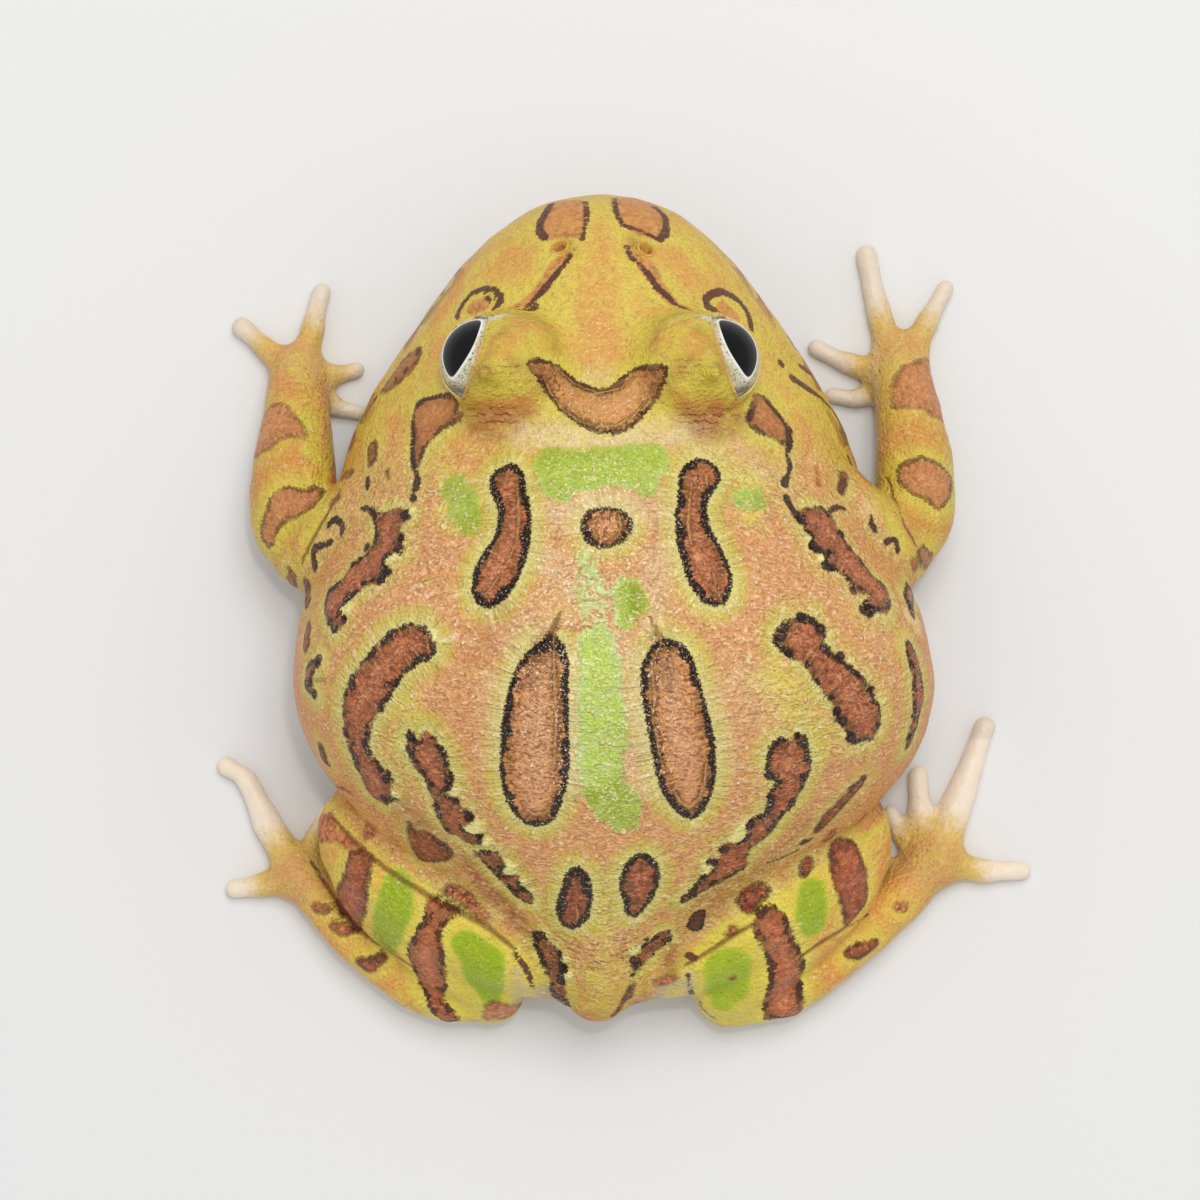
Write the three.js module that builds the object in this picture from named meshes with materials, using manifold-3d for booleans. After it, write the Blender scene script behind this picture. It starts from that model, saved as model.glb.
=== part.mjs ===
// Argentine horned frog at life size, sitting flat on its belly with its limbs folded and its toes spread.
// Millimetres, +Z up, the snout towards -Y, the animal's left towards +X, the floor at Z = 0.
import * as THREE from "three";
import { mergeVertices } from "three/addons/utils/BufferGeometryUtils.js";
import Module from "manifold-3d";

const wasm = await Module();
wasm.setup();

// Driving sizes
const SNOUT_Y = -57.8;
const RUMP_Y = 60.2;
const NECK_Y = -14;
const MOUTH_CORNER_Y = -19.5;
const LIP_OVERHANG = 0.7;
const EYE_RADIUS = 5.9;
const LID_THICKNESS = 1.0;
const GAP = 0.3;

// Trunk and head as one body: each row is [distance along Y, value]
const HALF_WIDTH = [
  [SNOUT_Y, 0], [-55.6, 9.9], [-49.2, 18.1], [-40.7, 24.8], [-32.1, 30.7], [-23.5, 35.2],
  [-15, 37.8], [-6.4, 40.4], [2, 44], [12.8, 45.4], [21.3, 43], [29.8, 36.8], [38.3, 27.8],
  [46.8, 17.4], [55.2, 7.4], [RUMP_Y, 0],
];
const WIDEST_HEIGHT = [
  [SNOUT_Y, 14], [-40, 13.5], [-28, 12.2], [-19, 11.4], [-10, 13], [0, 15.5], [12, 17], [25, 16],
  [40, 13.5], [RUMP_Y, 11.5],
];
const HEIGHT_ABOVE = [
  [SNOUT_Y, 0], [-55.6, 8.4], [-51.4, 12.8], [-44.9, 17], [-36.4, 21.6], [-27.8, 25.8], [-15, 30],
  [-2, 31.2], [8, 30.2], [21.3, 26.4], [34, 20.6], [46.8, 12.4], [55.2, 6.8], [RUMP_Y, 0],
];
const HEIGHT_BELOW = [
  [SNOUT_Y, 0], [-55.6, 5], [-50, 8.3], [-35, 9.7], [-20, 10], [-8, 14.4], [10, 18.4], [30, 17], [45, 13],
  [54, 9], [RUMP_Y, 0],
];
const UPPER_ROUNDNESS = [
  [SNOUT_Y, 2.1], [-45, 1.9], [-33, 1.75], [-20, 1.95], [-5, 2.25], [15, 2.35], [35, 2], [50, 1.5],
  [RUMP_Y, 1.8],
];
const MIDLINE_X = [
  [SNOUT_Y, 0], [-20, 0], [0, -1.4], [14, -2], [26, -1.9], [45, -0.6], [RUMP_Y, 0.2],
];
const LOWER_ROUNDNESS = 2.4;

// Eyes: centre on the animal's left, and the way the pupil looks
const EYE_CENTRE = new THREE.Vector3(16.4, -33.4, 33.6);
const EYE_LOOK = new THREE.Vector3(0.83, -0.43, 0.34).normalize();
const BROW = { centre: new THREE.Vector3(11.8, -32.4, 32.4), halfSize: [8.2, 7.8, 8.4] };
const HORN = {
  foot: new THREE.Vector3(14.6, -31.6, 39.6),
  height: 4.6,
  radius: 3,
  tip: 0.8,
  lean: new THREE.Vector3(0.4, 0.1, 1),
};
const LOWER_LID = { forward: 0.42, radius: 0.96, thickness: 0.9 };
const NOSTRIL = { y: -49.3, fromTop: 0.4, radius: 1.15, rim: 0.75 };
const EARDRUM = { y: -23.6, angle: 0.52, radius: 2.5, rim: 0.7 };

// Limbs: each row is [x, y, z, radius] along the middle of the limb
const LIMBS = {
  upper_arm_left: [[31, -10.5, 17.5, 8.2], [37.4, -7.6, 14.5, 7.2], [42, -5.4, 11.6, 6]],
  forearm_left: [
    [42.4, -6.2, 11.4, 5.8], [43.8, -11.5, 10, 6.2], [43.9, -18.6, 8.4, 6], [43.6, -26, 6, 4.9],
    [43.8, -31, 4.2, 3.8],
  ],
  upper_arm_right: [[-33, -10.5, 17.5, 8.2], [-39, -7.6, 14.5, 7], [-43.4, -5.6, 11.6, 5.8]],
  forearm_right: [
    [-43.6, -6.4, 11.4, 5.6], [-44.8, -12.2, 10, 5.8], [-45.1, -19.4, 8.4, 5.5], [-44.3, -26.6, 6, 4.8],
    [-43.5, -31.7, 4.2, 4],
  ],
  thigh_left: [[6, 50, 11.5, 7.2], [15, 46.6, 12, 9], [26, 39.6, 12, 9.2], [33.4, 33, 10.6, 7]],
  shank_left: [[33.6, 35.6, 9.4, 6.4], [28.8, 41, 9.4, 8], [21, 48.4, 8.8, 7.6], [15.8, 54, 7.4, 5.6]],
  tarsus_left: [[15.6, 56.6, 4.6, 4.6], [24.5, 55.6, 4.6, 4.4], [33.6, 49.4, 4.4, 4], [40, 43, 3.6, 3.2]],
  thigh_right: [
    [-6, 50, 11.5, 7.2], [-15.6, 46.6, 12, 9], [-27, 39.6, 12, 9.2], [-34.6, 33.4, 10.6, 7],
  ],
  shank_right: [
    [-35.4, 36, 9.4, 6.4], [-31, 41.2, 9.4, 8], [-23.4, 48.8, 8.8, 7.6], [-18.2, 54.4, 7.4, 5.8],
  ],
  tarsus_right: [
    [-18.4, 57.2, 4.6, 4.6], [-27, 55.2, 4.6, 4.4], [-36.8, 48.4, 4.4, 4], [-44.2, 42, 3.6, 3.2],
  ],
};
const PALMS = {
  hand_left: [[43.9, -30.6, 3, 3.4], [43.6, -33.6, 2.2, 3.5]],
  hand_right: [[-43.3, -31.4, 3, 3.4], [-43.5, -35, 2.2, 3.6]],
  foot_left: [[39, 44, 2.6, 3.2], [43.6, 39.4, 2, 3.6]],
  foot_right: [[-43.6, 42.8, 2.6, 3.2], [-48.4, 37.8, 2, 3.8]],
};
const DIGITS = {
  finger_1_left: [[41.6, -30.6, 2, 1.6], [38.2, -28, 1.5, 1.4], [34.9, -27.2, 1.2, 1.3]],
  finger_2_left: [[41.8, -32.6, 2, 1.7], [38.4, -32.6, 1.5, 1.5], [35.2, -33.2, 1.2, 1.4]],
  finger_3_left: [[43, -34, 2, 1.9], [41.6, -39, 1.6, 1.7], [40.3, -44.4, 1.3, 1.6]],
  finger_4_left: [[45, -33.6, 2, 1.8], [48.6, -36.6, 1.6, 1.6], [51.7, -39.4, 1.3, 1.6]],
  finger_1_right: [[-41.2, -30.4, 2, 1.6], [-37.2, -29.2, 1.5, 1.4], [-33.6, -29.6, 1.2, 1.3]],
  finger_2_right: [[-41, -33, 2, 1.8], [-36, -34.2, 1.6, 1.6], [-31.4, -36.4, 1.3, 1.5]],
  finger_3_right: [[-42, -36, 2, 2], [-40, -42.6, 1.6, 1.8], [-38.6, -49.8, 1.4, 1.7]],
  finger_4_right: [[-45, -36, 2, 1.8], [-47.6, -40.6, 1.6, 1.6], [-50, -45, 1.3, 1.4]],
  toe_1_left: [[41.2, 41.4, 1.7, 1.5], [37, 41.4, 1.3, 1.3], [33.8, 42.6, 1.1, 1.2]],
  toe_2_left: [[41.2, 40, 1.7, 1.5], [38, 37.6, 1.3, 1.3], [35.4, 37.2, 1.1, 1.2]],
  toe_3_left: [[42.2, 38.4, 1.8, 1.6], [41, 34, 1.4, 1.4], [39.6, 30.6, 1.2, 1.3]],
  toe_4_left: [[44.4, 38.6, 2, 2], [48.2, 32, 1.6, 1.7], [51, 26.2, 1.4, 1.5], [54, 24, 1.3, 1.5]],
  toe_5_left: [[45, 40.4, 2, 1.9], [48.9, 41.2, 1.6, 1.6], [52.8, 41.8, 1.3, 1.5]],
  toe_1_right: [[-46, 39.6, 1.7, 1.5], [-42, 38.6, 1.3, 1.3], [-39, 38.8, 1.1, 1.2]],
  toe_2_right: [[-46.2, 37.4, 1.7, 1.5], [-43.4, 33.6, 1.3, 1.3], [-42, 30.6, 1.1, 1.2]],
  toe_3_right: [[-47.4, 36.4, 1.8, 1.7], [-46.2, 31, 1.5, 1.5], [-46, 25.4, 1.2, 1.4]],
  toe_4_right: [[-49.4, 36, 2, 2.1], [-52.4, 27.6, 1.6, 1.8], [-55.6, 18.4, 1.4, 1.6]],
  toe_5_right: [[-50.6, 38, 2, 1.9], [-55.8, 39.2, 1.6, 1.6], [-61, 39.2, 1.3, 1.4]],
};

// Fineness of the surfaces
const BODY_RINGS = 34;
const BODY_SIDES = 36;
const LIMB_SIDES = 12;
const LIMB_STEPS = 7;
const DIGIT_SIDES = 8;
const DIGIT_STEPS = 4;
const DOME_RINGS = 3;

// Smooth curve through [position, value] rows, by Hermite spans whose slopes are the neighbours' average
function along(rows, at) {
  const last = rows.length - 1;
  const slope = (i) => {
    const a = rows[Math.max(i - 1, 0)];
    const b = rows[Math.min(i + 1, last)];
    return (b[1] - a[1]) / (b[0] - a[0]);
  };
  const y = Math.min(Math.max(at, rows[0][0]), rows[last][0]);
  let i = rows.findIndex(([p]) => p >= y) - 1;
  i = Math.max(i, 0);
  const [y0, v0] = rows[i];
  const [y1, v1] = rows[i + 1];
  const span = y1 - y0;
  const t = (y - y0) / span;
  const t2 = t * t;
  const t3 = t2 * t;
  return (
    v0 * (2 * t3 - 3 * t2 + 1) + slope(i) * span * (t3 - 2 * t2 + t) +
    v1 * (3 * t2 - 2 * t3) + slope(i + 1) * span * (t3 - t2)
  );
}

// The same for a size that closes to a round end: its square is what runs smoothly
function alongRound(rows, at) {
  return Math.sqrt(Math.max(along(rows.map(([p, v]) => [p, v * v]), at), 0));
}

// A closed solid from rings of points, with one point at each end
function solidFromRings(first, rings, last) {
  const sides = rings[0].length;
  const points = [first, ...rings.flat(), last];
  const faces = [];
  const at = (ring, side) => 1 + ring * sides + (side % sides);
  for (let s = 0; s < sides; s++) {
    faces.push(0, at(0, s + 1), at(0, s));
    faces.push(points.length - 1, at(rings.length - 1, s), at(rings.length - 1, s + 1));
    for (let r = 0; r + 1 < rings.length; r++) {
      faces.push(at(r, s), at(r, s + 1), at(r + 1, s + 1));
      faces.push(at(r, s), at(r + 1, s + 1), at(r + 1, s));
    }
  }
  const solid = new wasm.Manifold(new wasm.Mesh({
    numProp: 3,
    vertProperties: new Float32Array(points.flatMap((p) => [p.x, p.y, p.z])),
    triVerts: new Uint32Array(faces),
  }));
  if (solid.volume() > 0) return solid;
  throw new Error("a ring solid is inside out");
}

// A three.js geometry as a solid, moved by a matrix
function solidFromGeometry(geometry, matrix = new THREE.Matrix4()) {
  const bare = geometry.index ? geometry.toNonIndexed() : geometry.clone();
  bare.deleteAttribute("normal");
  bare.deleteAttribute("uv");
  bare.applyMatrix4(matrix);
  const merged = mergeVertices(bare, 1e-4);
  const corners = [...merged.index.array];
  const faces = [];
  for (let i = 0; i < corners.length; i += 3) {
    const [a, b, c] = corners.slice(i, i + 3);
    if (a !== b && b !== c && a !== c) faces.push(a, b, c);
  }
  return new wasm.Manifold(new wasm.Mesh({
    numProp: 3,
    vertProperties: new Float32Array(merged.attributes.position.array),
    triVerts: new Uint32Array(faces),
  }));
}

function ball(centre, halfSize, around = 16, down = 10) {
  const matrix = new THREE.Matrix4().makeScale(...halfSize).setPosition(centre);
  return solidFromGeometry(new THREE.SphereGeometry(1, around, down), matrix);
}

function block(low, high) {
  const size = high.map((v, i) => v - low[i]);
  const middle = new THREE.Vector3(...high.map((v, i) => (v + low[i]) / 2));
  return solidFromGeometry(new THREE.BoxGeometry(...size), new THREE.Matrix4().setPosition(middle));
}

function largest(solid) {
  return solid.decompose().sort((a, b) => b.volume() - a.volume())[0];
}

// One point of the body's skin: the section at y is a rounded oval, at angle t from the animal's left
function bodyPoint(y, t, grow) {
  const middle = (SNOUT_Y + RUMP_Y) / 2;
  const halfLength = (RUMP_Y - SNOUT_Y) / 2;
  const c = Math.cos(t);
  const s = Math.sin(t);
  const roundness = s > 0 ? along(UPPER_ROUNDNESS, y) : LOWER_ROUNDNESS;
  const height = alongRound(s > 0 ? HEIGHT_ABOVE : HEIGHT_BELOW, y) + grow;
  const width = alongRound(HALF_WIDTH, y) + grow;
  const reach = (Math.abs(c) ** roundness + Math.abs(s) ** roundness) ** (-1 / roundness);
  return new THREE.Vector3(
    along(MIDLINE_X, y) + width * c * reach,
    middle + (y - middle) * (1 + grow / halfLength),
    along(WIDEST_HEIGHT, y) + height * s * reach,
  );
}

// Trunk and head in one piece, made larger all round by grow
function bodySolid(grow = 0) {
  const length = RUMP_Y - SNOUT_Y;
  const crowding = 0.6;
  const rings = [];
  for (let r = 1; r < BODY_RINGS; r++) {
    const u = r / BODY_RINGS;
    const y = SNOUT_Y + length * (u - (crowding * Math.sin(2 * Math.PI * u)) / (2 * Math.PI));
    const turn = (-2 * Math.PI) / BODY_SIDES;
    rings.push(Array.from({ length: BODY_SIDES }, (_, s) => bodyPoint(y, turn * s, grow)));
  }
  const end = (y, push) => new THREE.Vector3(along(MIDLINE_X, y), y + push, along(WIDEST_HEIGHT, y));
  return solidFromRings(end(SNOUT_Y, -grow), rings, end(RUMP_Y, grow));
}

// A limb: rings round a smooth path through [x, y, z, radius], closed by a dome at each end
function limb(rows, sides, steps, grow = 0) {
  const path = new THREE.CatmullRomCurve3(rows.map(([x, y, z]) => new THREE.Vector3(x, y, z)));
  const radii = rows.map((row, i) => [i, row[3]]);
  const up = new THREE.Vector3(0, 0, 1);
  const ringAt = (u, push, share) => {
    const centre = path.getPoint(u);
    const ahead = path.getTangent(u).normalize();
    const aside = new THREE.Vector3().crossVectors(ahead, up).normalize();
    const above = new THREE.Vector3().crossVectors(aside, ahead);
    const radius = along(radii, u * (rows.length - 1)) + grow;
    centre.addScaledVector(ahead, push * radius);
    return Array.from({ length: sides }, (_, s) => {
      const t = (-2 * Math.PI * (s + 0.5)) / sides;
      return centre.clone()
        .addScaledVector(aside, radius * share * Math.cos(t))
        .addScaledVector(above, radius * share * Math.sin(t));
    });
  };
  const rings = [];
  for (let k = DOME_RINGS - 1; k > 0; k--) {
    const a = (k / DOME_RINGS) * (Math.PI / 2);
    rings.push(ringAt(0, -Math.sin(a), Math.cos(a)));
  }
  for (let k = 0; k <= steps; k++) rings.push(ringAt(k / steps, 0, 1));
  for (let k = 1; k < DOME_RINGS; k++) {
    const a = (k / DOME_RINGS) * (Math.PI / 2);
    rings.push(ringAt(1, Math.sin(a), Math.cos(a)));
  }
  return solidFromRings(ringAt(0, -1, 0)[0], rings, ringAt(1, 1, 0)[0]);
}

// Everything below the mouth line and ahead of the mouth's corner, lowered by a gap
function jawRegion(gap) {
  const wide = 60;
  const low = -10;
  const outline = [[SNOUT_Y - 12, low], [MOUTH_CORNER_Y - gap, low]];
  const steps = 16;
  for (let i = 0; i <= steps; i++) {
    const y = MOUTH_CORNER_Y - gap - (i / steps) * (MOUTH_CORNER_Y - SNOUT_Y + 12);
    outline.push([y, along(WIDEST_HEIGHT, y) - gap]);
  }
  const shape = new THREE.Shape(outline.map(([y, z]) => new THREE.Vector2(y, z)));
  const prism = new THREE.ExtrudeGeometry(shape, { depth: 2 * wide, bevelEnabled: false });
  const turned = new THREE.Matrix4().makeBasis(
    new THREE.Vector3(0, 1, 0), new THREE.Vector3(0, 0, 1), new THREE.Vector3(1, 0, 0),
  );
  return solidFromGeometry(prism, turned.setPosition(-wide, 0, 0));
}

// The same vector on the animal's left (side = 1) or right (side = -1)
const mirrored = (v, side) => new THREE.Vector3(side * v.x, v.y, v.z);

function eyeball(side, grow = 0) {
  return ball(mirrored(EYE_CENTRE, side), Array(3).fill(EYE_RADIUS + grow));
}

// The swollen brow with the lid's edge over the eye and the blunt horn on top
function brow(side, grow = 0) {
  const mound = ball(mirrored(BROW.centre, side), BROW.halfSize.map((v) => v + grow));
  const shell = ball(mirrored(EYE_CENTRE, side), Array(3).fill(EYE_RADIUS + LID_THICKNESS + grow));
  const look = mirrored(EYE_LOOK, side);
  const outward = new THREE.Vector3(look.x, look.y, 0).normalize();
  const half = 20;
  const keep = new THREE.Matrix4().makeBasis(
    outward, new THREE.Vector3(0, 0, 1).cross(outward), new THREE.Vector3(0, 0, 1),
  );
  keep.setPosition(mirrored(EYE_CENTRE, side).addScaledVector(outward, 0.4 + grow - half));
  const inner = solidFromGeometry(new THREE.BoxGeometry(2 * half, 2 * half, 2 * half), keep);
  const axis = mirrored(HORN.lean, side).normalize();
  const turn = new THREE.Quaternion().setFromUnitVectors(new THREE.Vector3(0, 1, 0), axis);
  const spike = new THREE.CylinderGeometry(HORN.tip + grow, HORN.radius + grow, HORN.height + grow, 10);
  const place = new THREE.Matrix4().compose(mirrored(HORN.foot, side), turn, new THREE.Vector3(1, 1, 1));
  return mound.add(shell.intersect(inner)).add(solidFromGeometry(spike, place));
}

// A ring lying on the skin round a point, standing out along a direction
function rimOnSkin(centre, direction, radius, thickness) {
  const turn = new THREE.Quaternion().setFromUnitVectors(new THREE.Vector3(0, 0, 1), direction);
  const place = new THREE.Matrix4().compose(centre, turn, new THREE.Vector3(1, 1, 1));
  return solidFromGeometry(new THREE.TorusGeometry(radius, thickness, 5, 12), place);
}

// Direction straight out of the skin at y and angle t
function outwardAt(y, t) {
  const step = 0.02;
  const alongY = bodyPoint(y + step, t, 0).sub(bodyPoint(y - step, t, 0));
  const alongT = bodyPoint(y, t + step, 0).sub(bodyPoint(y, t - step, 0));
  return alongT.cross(alongY).normalize();
}

function socket(head, side) {
  const lookAt = mirrored(EYE_LOOK, side);
  const rimCentre = mirrored(EYE_CENTRE, side).addScaledVector(lookAt, EYE_RADIUS * LOWER_LID.forward);
  const rim = rimOnSkin(rimCentre, lookAt, EYE_RADIUS * LOWER_LID.radius, LOWER_LID.thickness);
  return head.add(rim).subtract(brow(side, GAP)).subtract(eyeball(side, GAP));
}

function nostril(head, side) {
  const angle = Math.PI / 2 - side * NOSTRIL.fromTop;
  const opening = bodyPoint(NOSTRIL.y, angle, 0);
  const out = outwardAt(NOSTRIL.y, angle);
  const mouth = opening.clone().addScaledVector(out, NOSTRIL.rim / 2);
  const pit = ball(mouth, Array(3).fill(NOSTRIL.radius), 10, 8);
  return head.add(rimOnSkin(opening, out, NOSTRIL.radius, NOSTRIL.rim)).subtract(pit);
}

function eardrum(head, side) {
  const angle = side > 0 ? EARDRUM.angle : Math.PI - EARDRUM.angle;
  const centre = bodyPoint(EARDRUM.y, angle, 0);
  return head.add(rimOnSkin(centre, outwardAt(EARDRUM.y, angle), EARDRUM.radius, EARDRUM.rim));
}

function skull(whole) {
  const front = block([-60, SNOUT_Y - 5, 0], [60, NECK_Y - GAP / 2, 60]);
  let head = whole.intersect(front).subtract(jawRegion(0));
  for (const side of [1, -1]) {
    head = eardrum(nostril(socket(head, side), side), side);
  }
  return largest(head);
}

const group = new THREE.Group();

const SKIN = { color: 0xd8a24a, roughness: 0.45, metalness: 0 };
const PALE = { color: 0xe6cdb4, roughness: 0.5, metalness: 0 };
const EYE = { color: 0x14161c, roughness: 0.08, metalness: 0 };

function addNode(name, solid, finish) {
  const mesh = solid.getMesh();
  const stride = mesh.numProp;
  const positions = new Float32Array(mesh.numVert * 3);
  for (let i = 0; i < mesh.numVert; i++) {
    positions.set(mesh.vertProperties.subarray(i * stride, i * stride + 3), i * 3);
  }
  const geometry = new THREE.BufferGeometry();
  geometry.setAttribute("position", new THREE.BufferAttribute(positions, 3));
  geometry.setIndex(new THREE.BufferAttribute(mesh.triVerts, 1));
  const node = new THREE.Mesh(geometry, new THREE.MeshStandardMaterial(finish));
  node.name = name;
  group.add(node);
}

const overFloor = (solid) => largest(solid.intersect(block([-90, -90, 0], [90, 90, 90])));

// Head, jaw and trunk
const whole = bodySolid();
const grownBody = bodySolid(GAP);
addNode("head", overFloor(skull(whole)), SKIN);
addNode("lower_jaw", overFloor(bodySolid(-LIP_OVERHANG).intersect(jawRegion(GAP))), PALE);
const back = block([-60, NECK_Y + GAP / 2, 0], [60, RUMP_Y + 5, 60]);
addNode("torso", overFloor(whole.intersect(back)), SKIN);
for (const [side, word] of [[1, "left"], [-1, "right"]]) {
  addNode(`eye_${word}`, eyeball(side), EYE);
  addNode(`horned_lid_${word}`, largest(brow(side).subtract(eyeball(side, GAP))), SKIN);
}

// Limbs, each cut clear of the one that it grows from
for (const word of ["left", "right"]) {
  const upper = (name, grow = 0) => limb(LIMBS[name], LIMB_SIDES, LIMB_STEPS, grow);
  const palm = (name, grow = 0) => limb(PALMS[name], LIMB_SIDES, 2, grow);
  const digit = (name, grow = 0) => limb(DIGITS[name], DIGIT_SIDES, DIGIT_STEPS, grow);
  const names = (kind, count) => Array.from({ length: count }, (_, i) => `${kind}_${i + 1}_${word}`);
  const clearOf = (solid, others) => overFloor(others.reduce((left, other) => left.subtract(other), solid));

  const addLimb = (name, others) => {
    addNode(name, clearOf(upper(name), others), SKIN);
    return [...others, upper(name, GAP)];
  };
  const addDigits = (digits, others) => {
    const taken = [...others];
    for (const name of digits) {
      addNode(name, clearOf(digit(name), taken), PALE);
      taken.push(digit(name, GAP));
    }
  };

  const pastArm = addLimb(`forearm_${word}`, addLimb(`upper_arm_${word}`, [grownBody]));
  addNode(`hand_${word}`, clearOf(palm(`hand_${word}`), pastArm), PALE);
  addDigits(names("finger", 4), [...pastArm, palm(`hand_${word}`, GAP)]);

  const toes = names("toe", 5);
  const pastThigh = addLimb(`thigh_${word}`, [grownBody]);
  addLimb(`shank_${word}`, [...pastThigh, ...toes.map((name) => digit(name, GAP))]);
  const pastShank = [...pastThigh, upper(`shank_${word}`, GAP)];
  const pastTarsus = addLimb(`tarsus_${word}`, pastShank);
  addNode(`foot_${word}`, clearOf(palm(`foot_${word}`), pastTarsus), PALE);
  addDigits(toes, [...pastThigh, upper(`tarsus_${word}`, GAP), palm(`foot_${word}`, GAP)]);
}

// The origin goes under the middle of the part
const middle = new THREE.Box3().setFromObject(group).getCenter(new THREE.Vector3());
group.position.set(-middle.x, -middle.y, 0);

export default group;
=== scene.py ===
"""Argentine horned frog, dressed for the studio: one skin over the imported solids, wet eyes, lid edges and nostrils.

Shapes are worked out in millimetres in the frog's own frame: the snout towards -Y, the animal's left towards
+X, the floor at Z = 0, and the photograph's camera straight above the point X = 0, Y = 0.
"""
import math

import bpy
import numpy as np
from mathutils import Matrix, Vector


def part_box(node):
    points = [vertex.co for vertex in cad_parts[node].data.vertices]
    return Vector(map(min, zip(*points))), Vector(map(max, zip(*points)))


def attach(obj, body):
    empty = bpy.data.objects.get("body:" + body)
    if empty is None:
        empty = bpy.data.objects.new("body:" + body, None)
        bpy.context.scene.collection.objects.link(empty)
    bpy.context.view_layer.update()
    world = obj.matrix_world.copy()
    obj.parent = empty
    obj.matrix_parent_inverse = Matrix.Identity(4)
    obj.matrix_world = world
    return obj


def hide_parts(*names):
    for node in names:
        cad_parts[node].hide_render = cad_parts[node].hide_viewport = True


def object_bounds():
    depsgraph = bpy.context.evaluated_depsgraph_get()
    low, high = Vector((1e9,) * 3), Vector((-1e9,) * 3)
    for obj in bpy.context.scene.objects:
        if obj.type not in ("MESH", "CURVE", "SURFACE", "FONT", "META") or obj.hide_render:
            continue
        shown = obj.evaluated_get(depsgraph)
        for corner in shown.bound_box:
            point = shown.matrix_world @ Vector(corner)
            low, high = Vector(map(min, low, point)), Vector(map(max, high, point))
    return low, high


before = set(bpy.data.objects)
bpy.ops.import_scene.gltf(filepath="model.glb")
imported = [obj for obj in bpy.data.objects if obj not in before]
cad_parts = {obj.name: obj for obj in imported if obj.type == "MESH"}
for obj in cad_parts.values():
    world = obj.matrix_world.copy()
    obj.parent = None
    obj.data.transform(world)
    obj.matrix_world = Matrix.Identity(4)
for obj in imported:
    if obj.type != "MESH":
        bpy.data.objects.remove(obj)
CAD_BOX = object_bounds()

# Driving sizes of the body, as in the solids
SNOUT_Y = -57.8
RUMP_Y = 60.2
MOUTH_CORNER_Y = -19.5
LIP_OVERHANG = 0.7
LIP_DROP = 0.2
HALF_WIDTH = [
    (SNOUT_Y, 0), (-55.6, 9.9), (-49.2, 18.1), (-40.7, 24.8), (-32.1, 30.7), (-23.5, 35.2),
    (-15, 37.8), (-6.4, 40.4), (2, 44), (12.8, 45.4), (21.3, 43), (29.8, 36.8), (38.3, 27.8),
    (46.8, 17.4), (55.2, 7.4), (RUMP_Y, 0),
]
WIDEST_HEIGHT = [
    (SNOUT_Y, 14), (-40, 13.5), (-28, 12.2), (-19, 11.4), (-10, 13), (0, 15.5), (12, 17), (25, 16),
    (40, 13.5), (RUMP_Y, 11.5),
]
HEIGHT_ABOVE = [
    (SNOUT_Y, 0), (-55.6, 8.4), (-51.4, 12.8), (-44.9, 17), (-36.4, 21.6), (-27.8, 25.8), (-15, 30),
    (-2, 31.2), (8, 30.2), (21.3, 26.4), (34, 20.6), (46.8, 12.4), (55.2, 6.8), (RUMP_Y, 0),
]
HEIGHT_BELOW = [
    (SNOUT_Y, 0), (-55.6, 5), (-50, 8.3), (-35, 9.7), (-20, 10), (-8, 14.4), (10, 18.4), (30, 17),
    (45, 13), (54, 9), (RUMP_Y, 0),
]
UPPER_ROUNDNESS = [
    (SNOUT_Y, 2.1), (-45, 1.9), (-33, 1.75), (-20, 1.95), (-5, 2.25), (15, 2.35), (35, 2), (50, 1.5),
    (RUMP_Y, 1.8),
]
LOWER_ROUNDNESS = 2.4
MIDLINE_X = [(SNOUT_Y, 0), (-20, 0), (0, -1.4), (14, -2), (26, -1.9), (45, -0.6), (RUMP_Y, 0.2)]

# Eyes, brows and face, on the animal's left
EYE_CENTRE = np.array([16.4, -33.4, 33.6])
EYE_RADIUS = 5.9
EYE_LOOK = np.array([0.62, -0.31, 0.72])
# Corners of the lids and the middles of their edges, from the eye's centre
LID_FRONT = np.array([-1.0, -5.75, 0.6])
LID_REAR = np.array([2.6, 5.1, 1.3])
LID_TOP = np.array([0.45, -0.35, 5.87])
LID_LOW = np.array([4.88, -2.5, -1.82])
LID_THICKNESS = 0.5
# Between the lids the shell round the eye is open this far out from the ball
LID_OPENING = 1.8
# The upper and the lower lid's edge: how far the middle of its bead stands off the ball, and the bead's radius
LID_EDGE_LIFT = (0.3, 0.22)
LID_EDGE_RADIUS = (0.3, 0.2)
BROW_CENTRE = np.array([11.8, -32.4, 32.4])
BROW_SIZE = np.array([8.2, 7.8, 8.4])
HORN = [(14.6, -31.6, 39.2, 2.2), (16.1, -31.2, 43.4, 0.5)]
# Nothing of the brow and the lids reaches further from the eye's centre
FACE_REACH = 16.0

# The left and the right nostril: two points along each, as rows of a band, whose radius isn't used
NOSTRILS = [[(560, 247, 1), (571, 241, 1)], [(646, 249, 1), (637, 241, 1)]]
NOSTRIL_HALF_LENGTH = 1.5
NOSTRIL_HALF_WIDTH = 1.28
# Rows of (share of the radius, height), from outside the lip down into the pit
NOSTRIL_PROFILE = [
    (1.0, -0.35), (0.96, 0.0), (0.9, 0.2), (0.83, 0.28), (0.76, 0.22), (0.7, 0.05), (0.64, -0.22), (0.5, -0.55),
    (0.26, -0.75),
]

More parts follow.
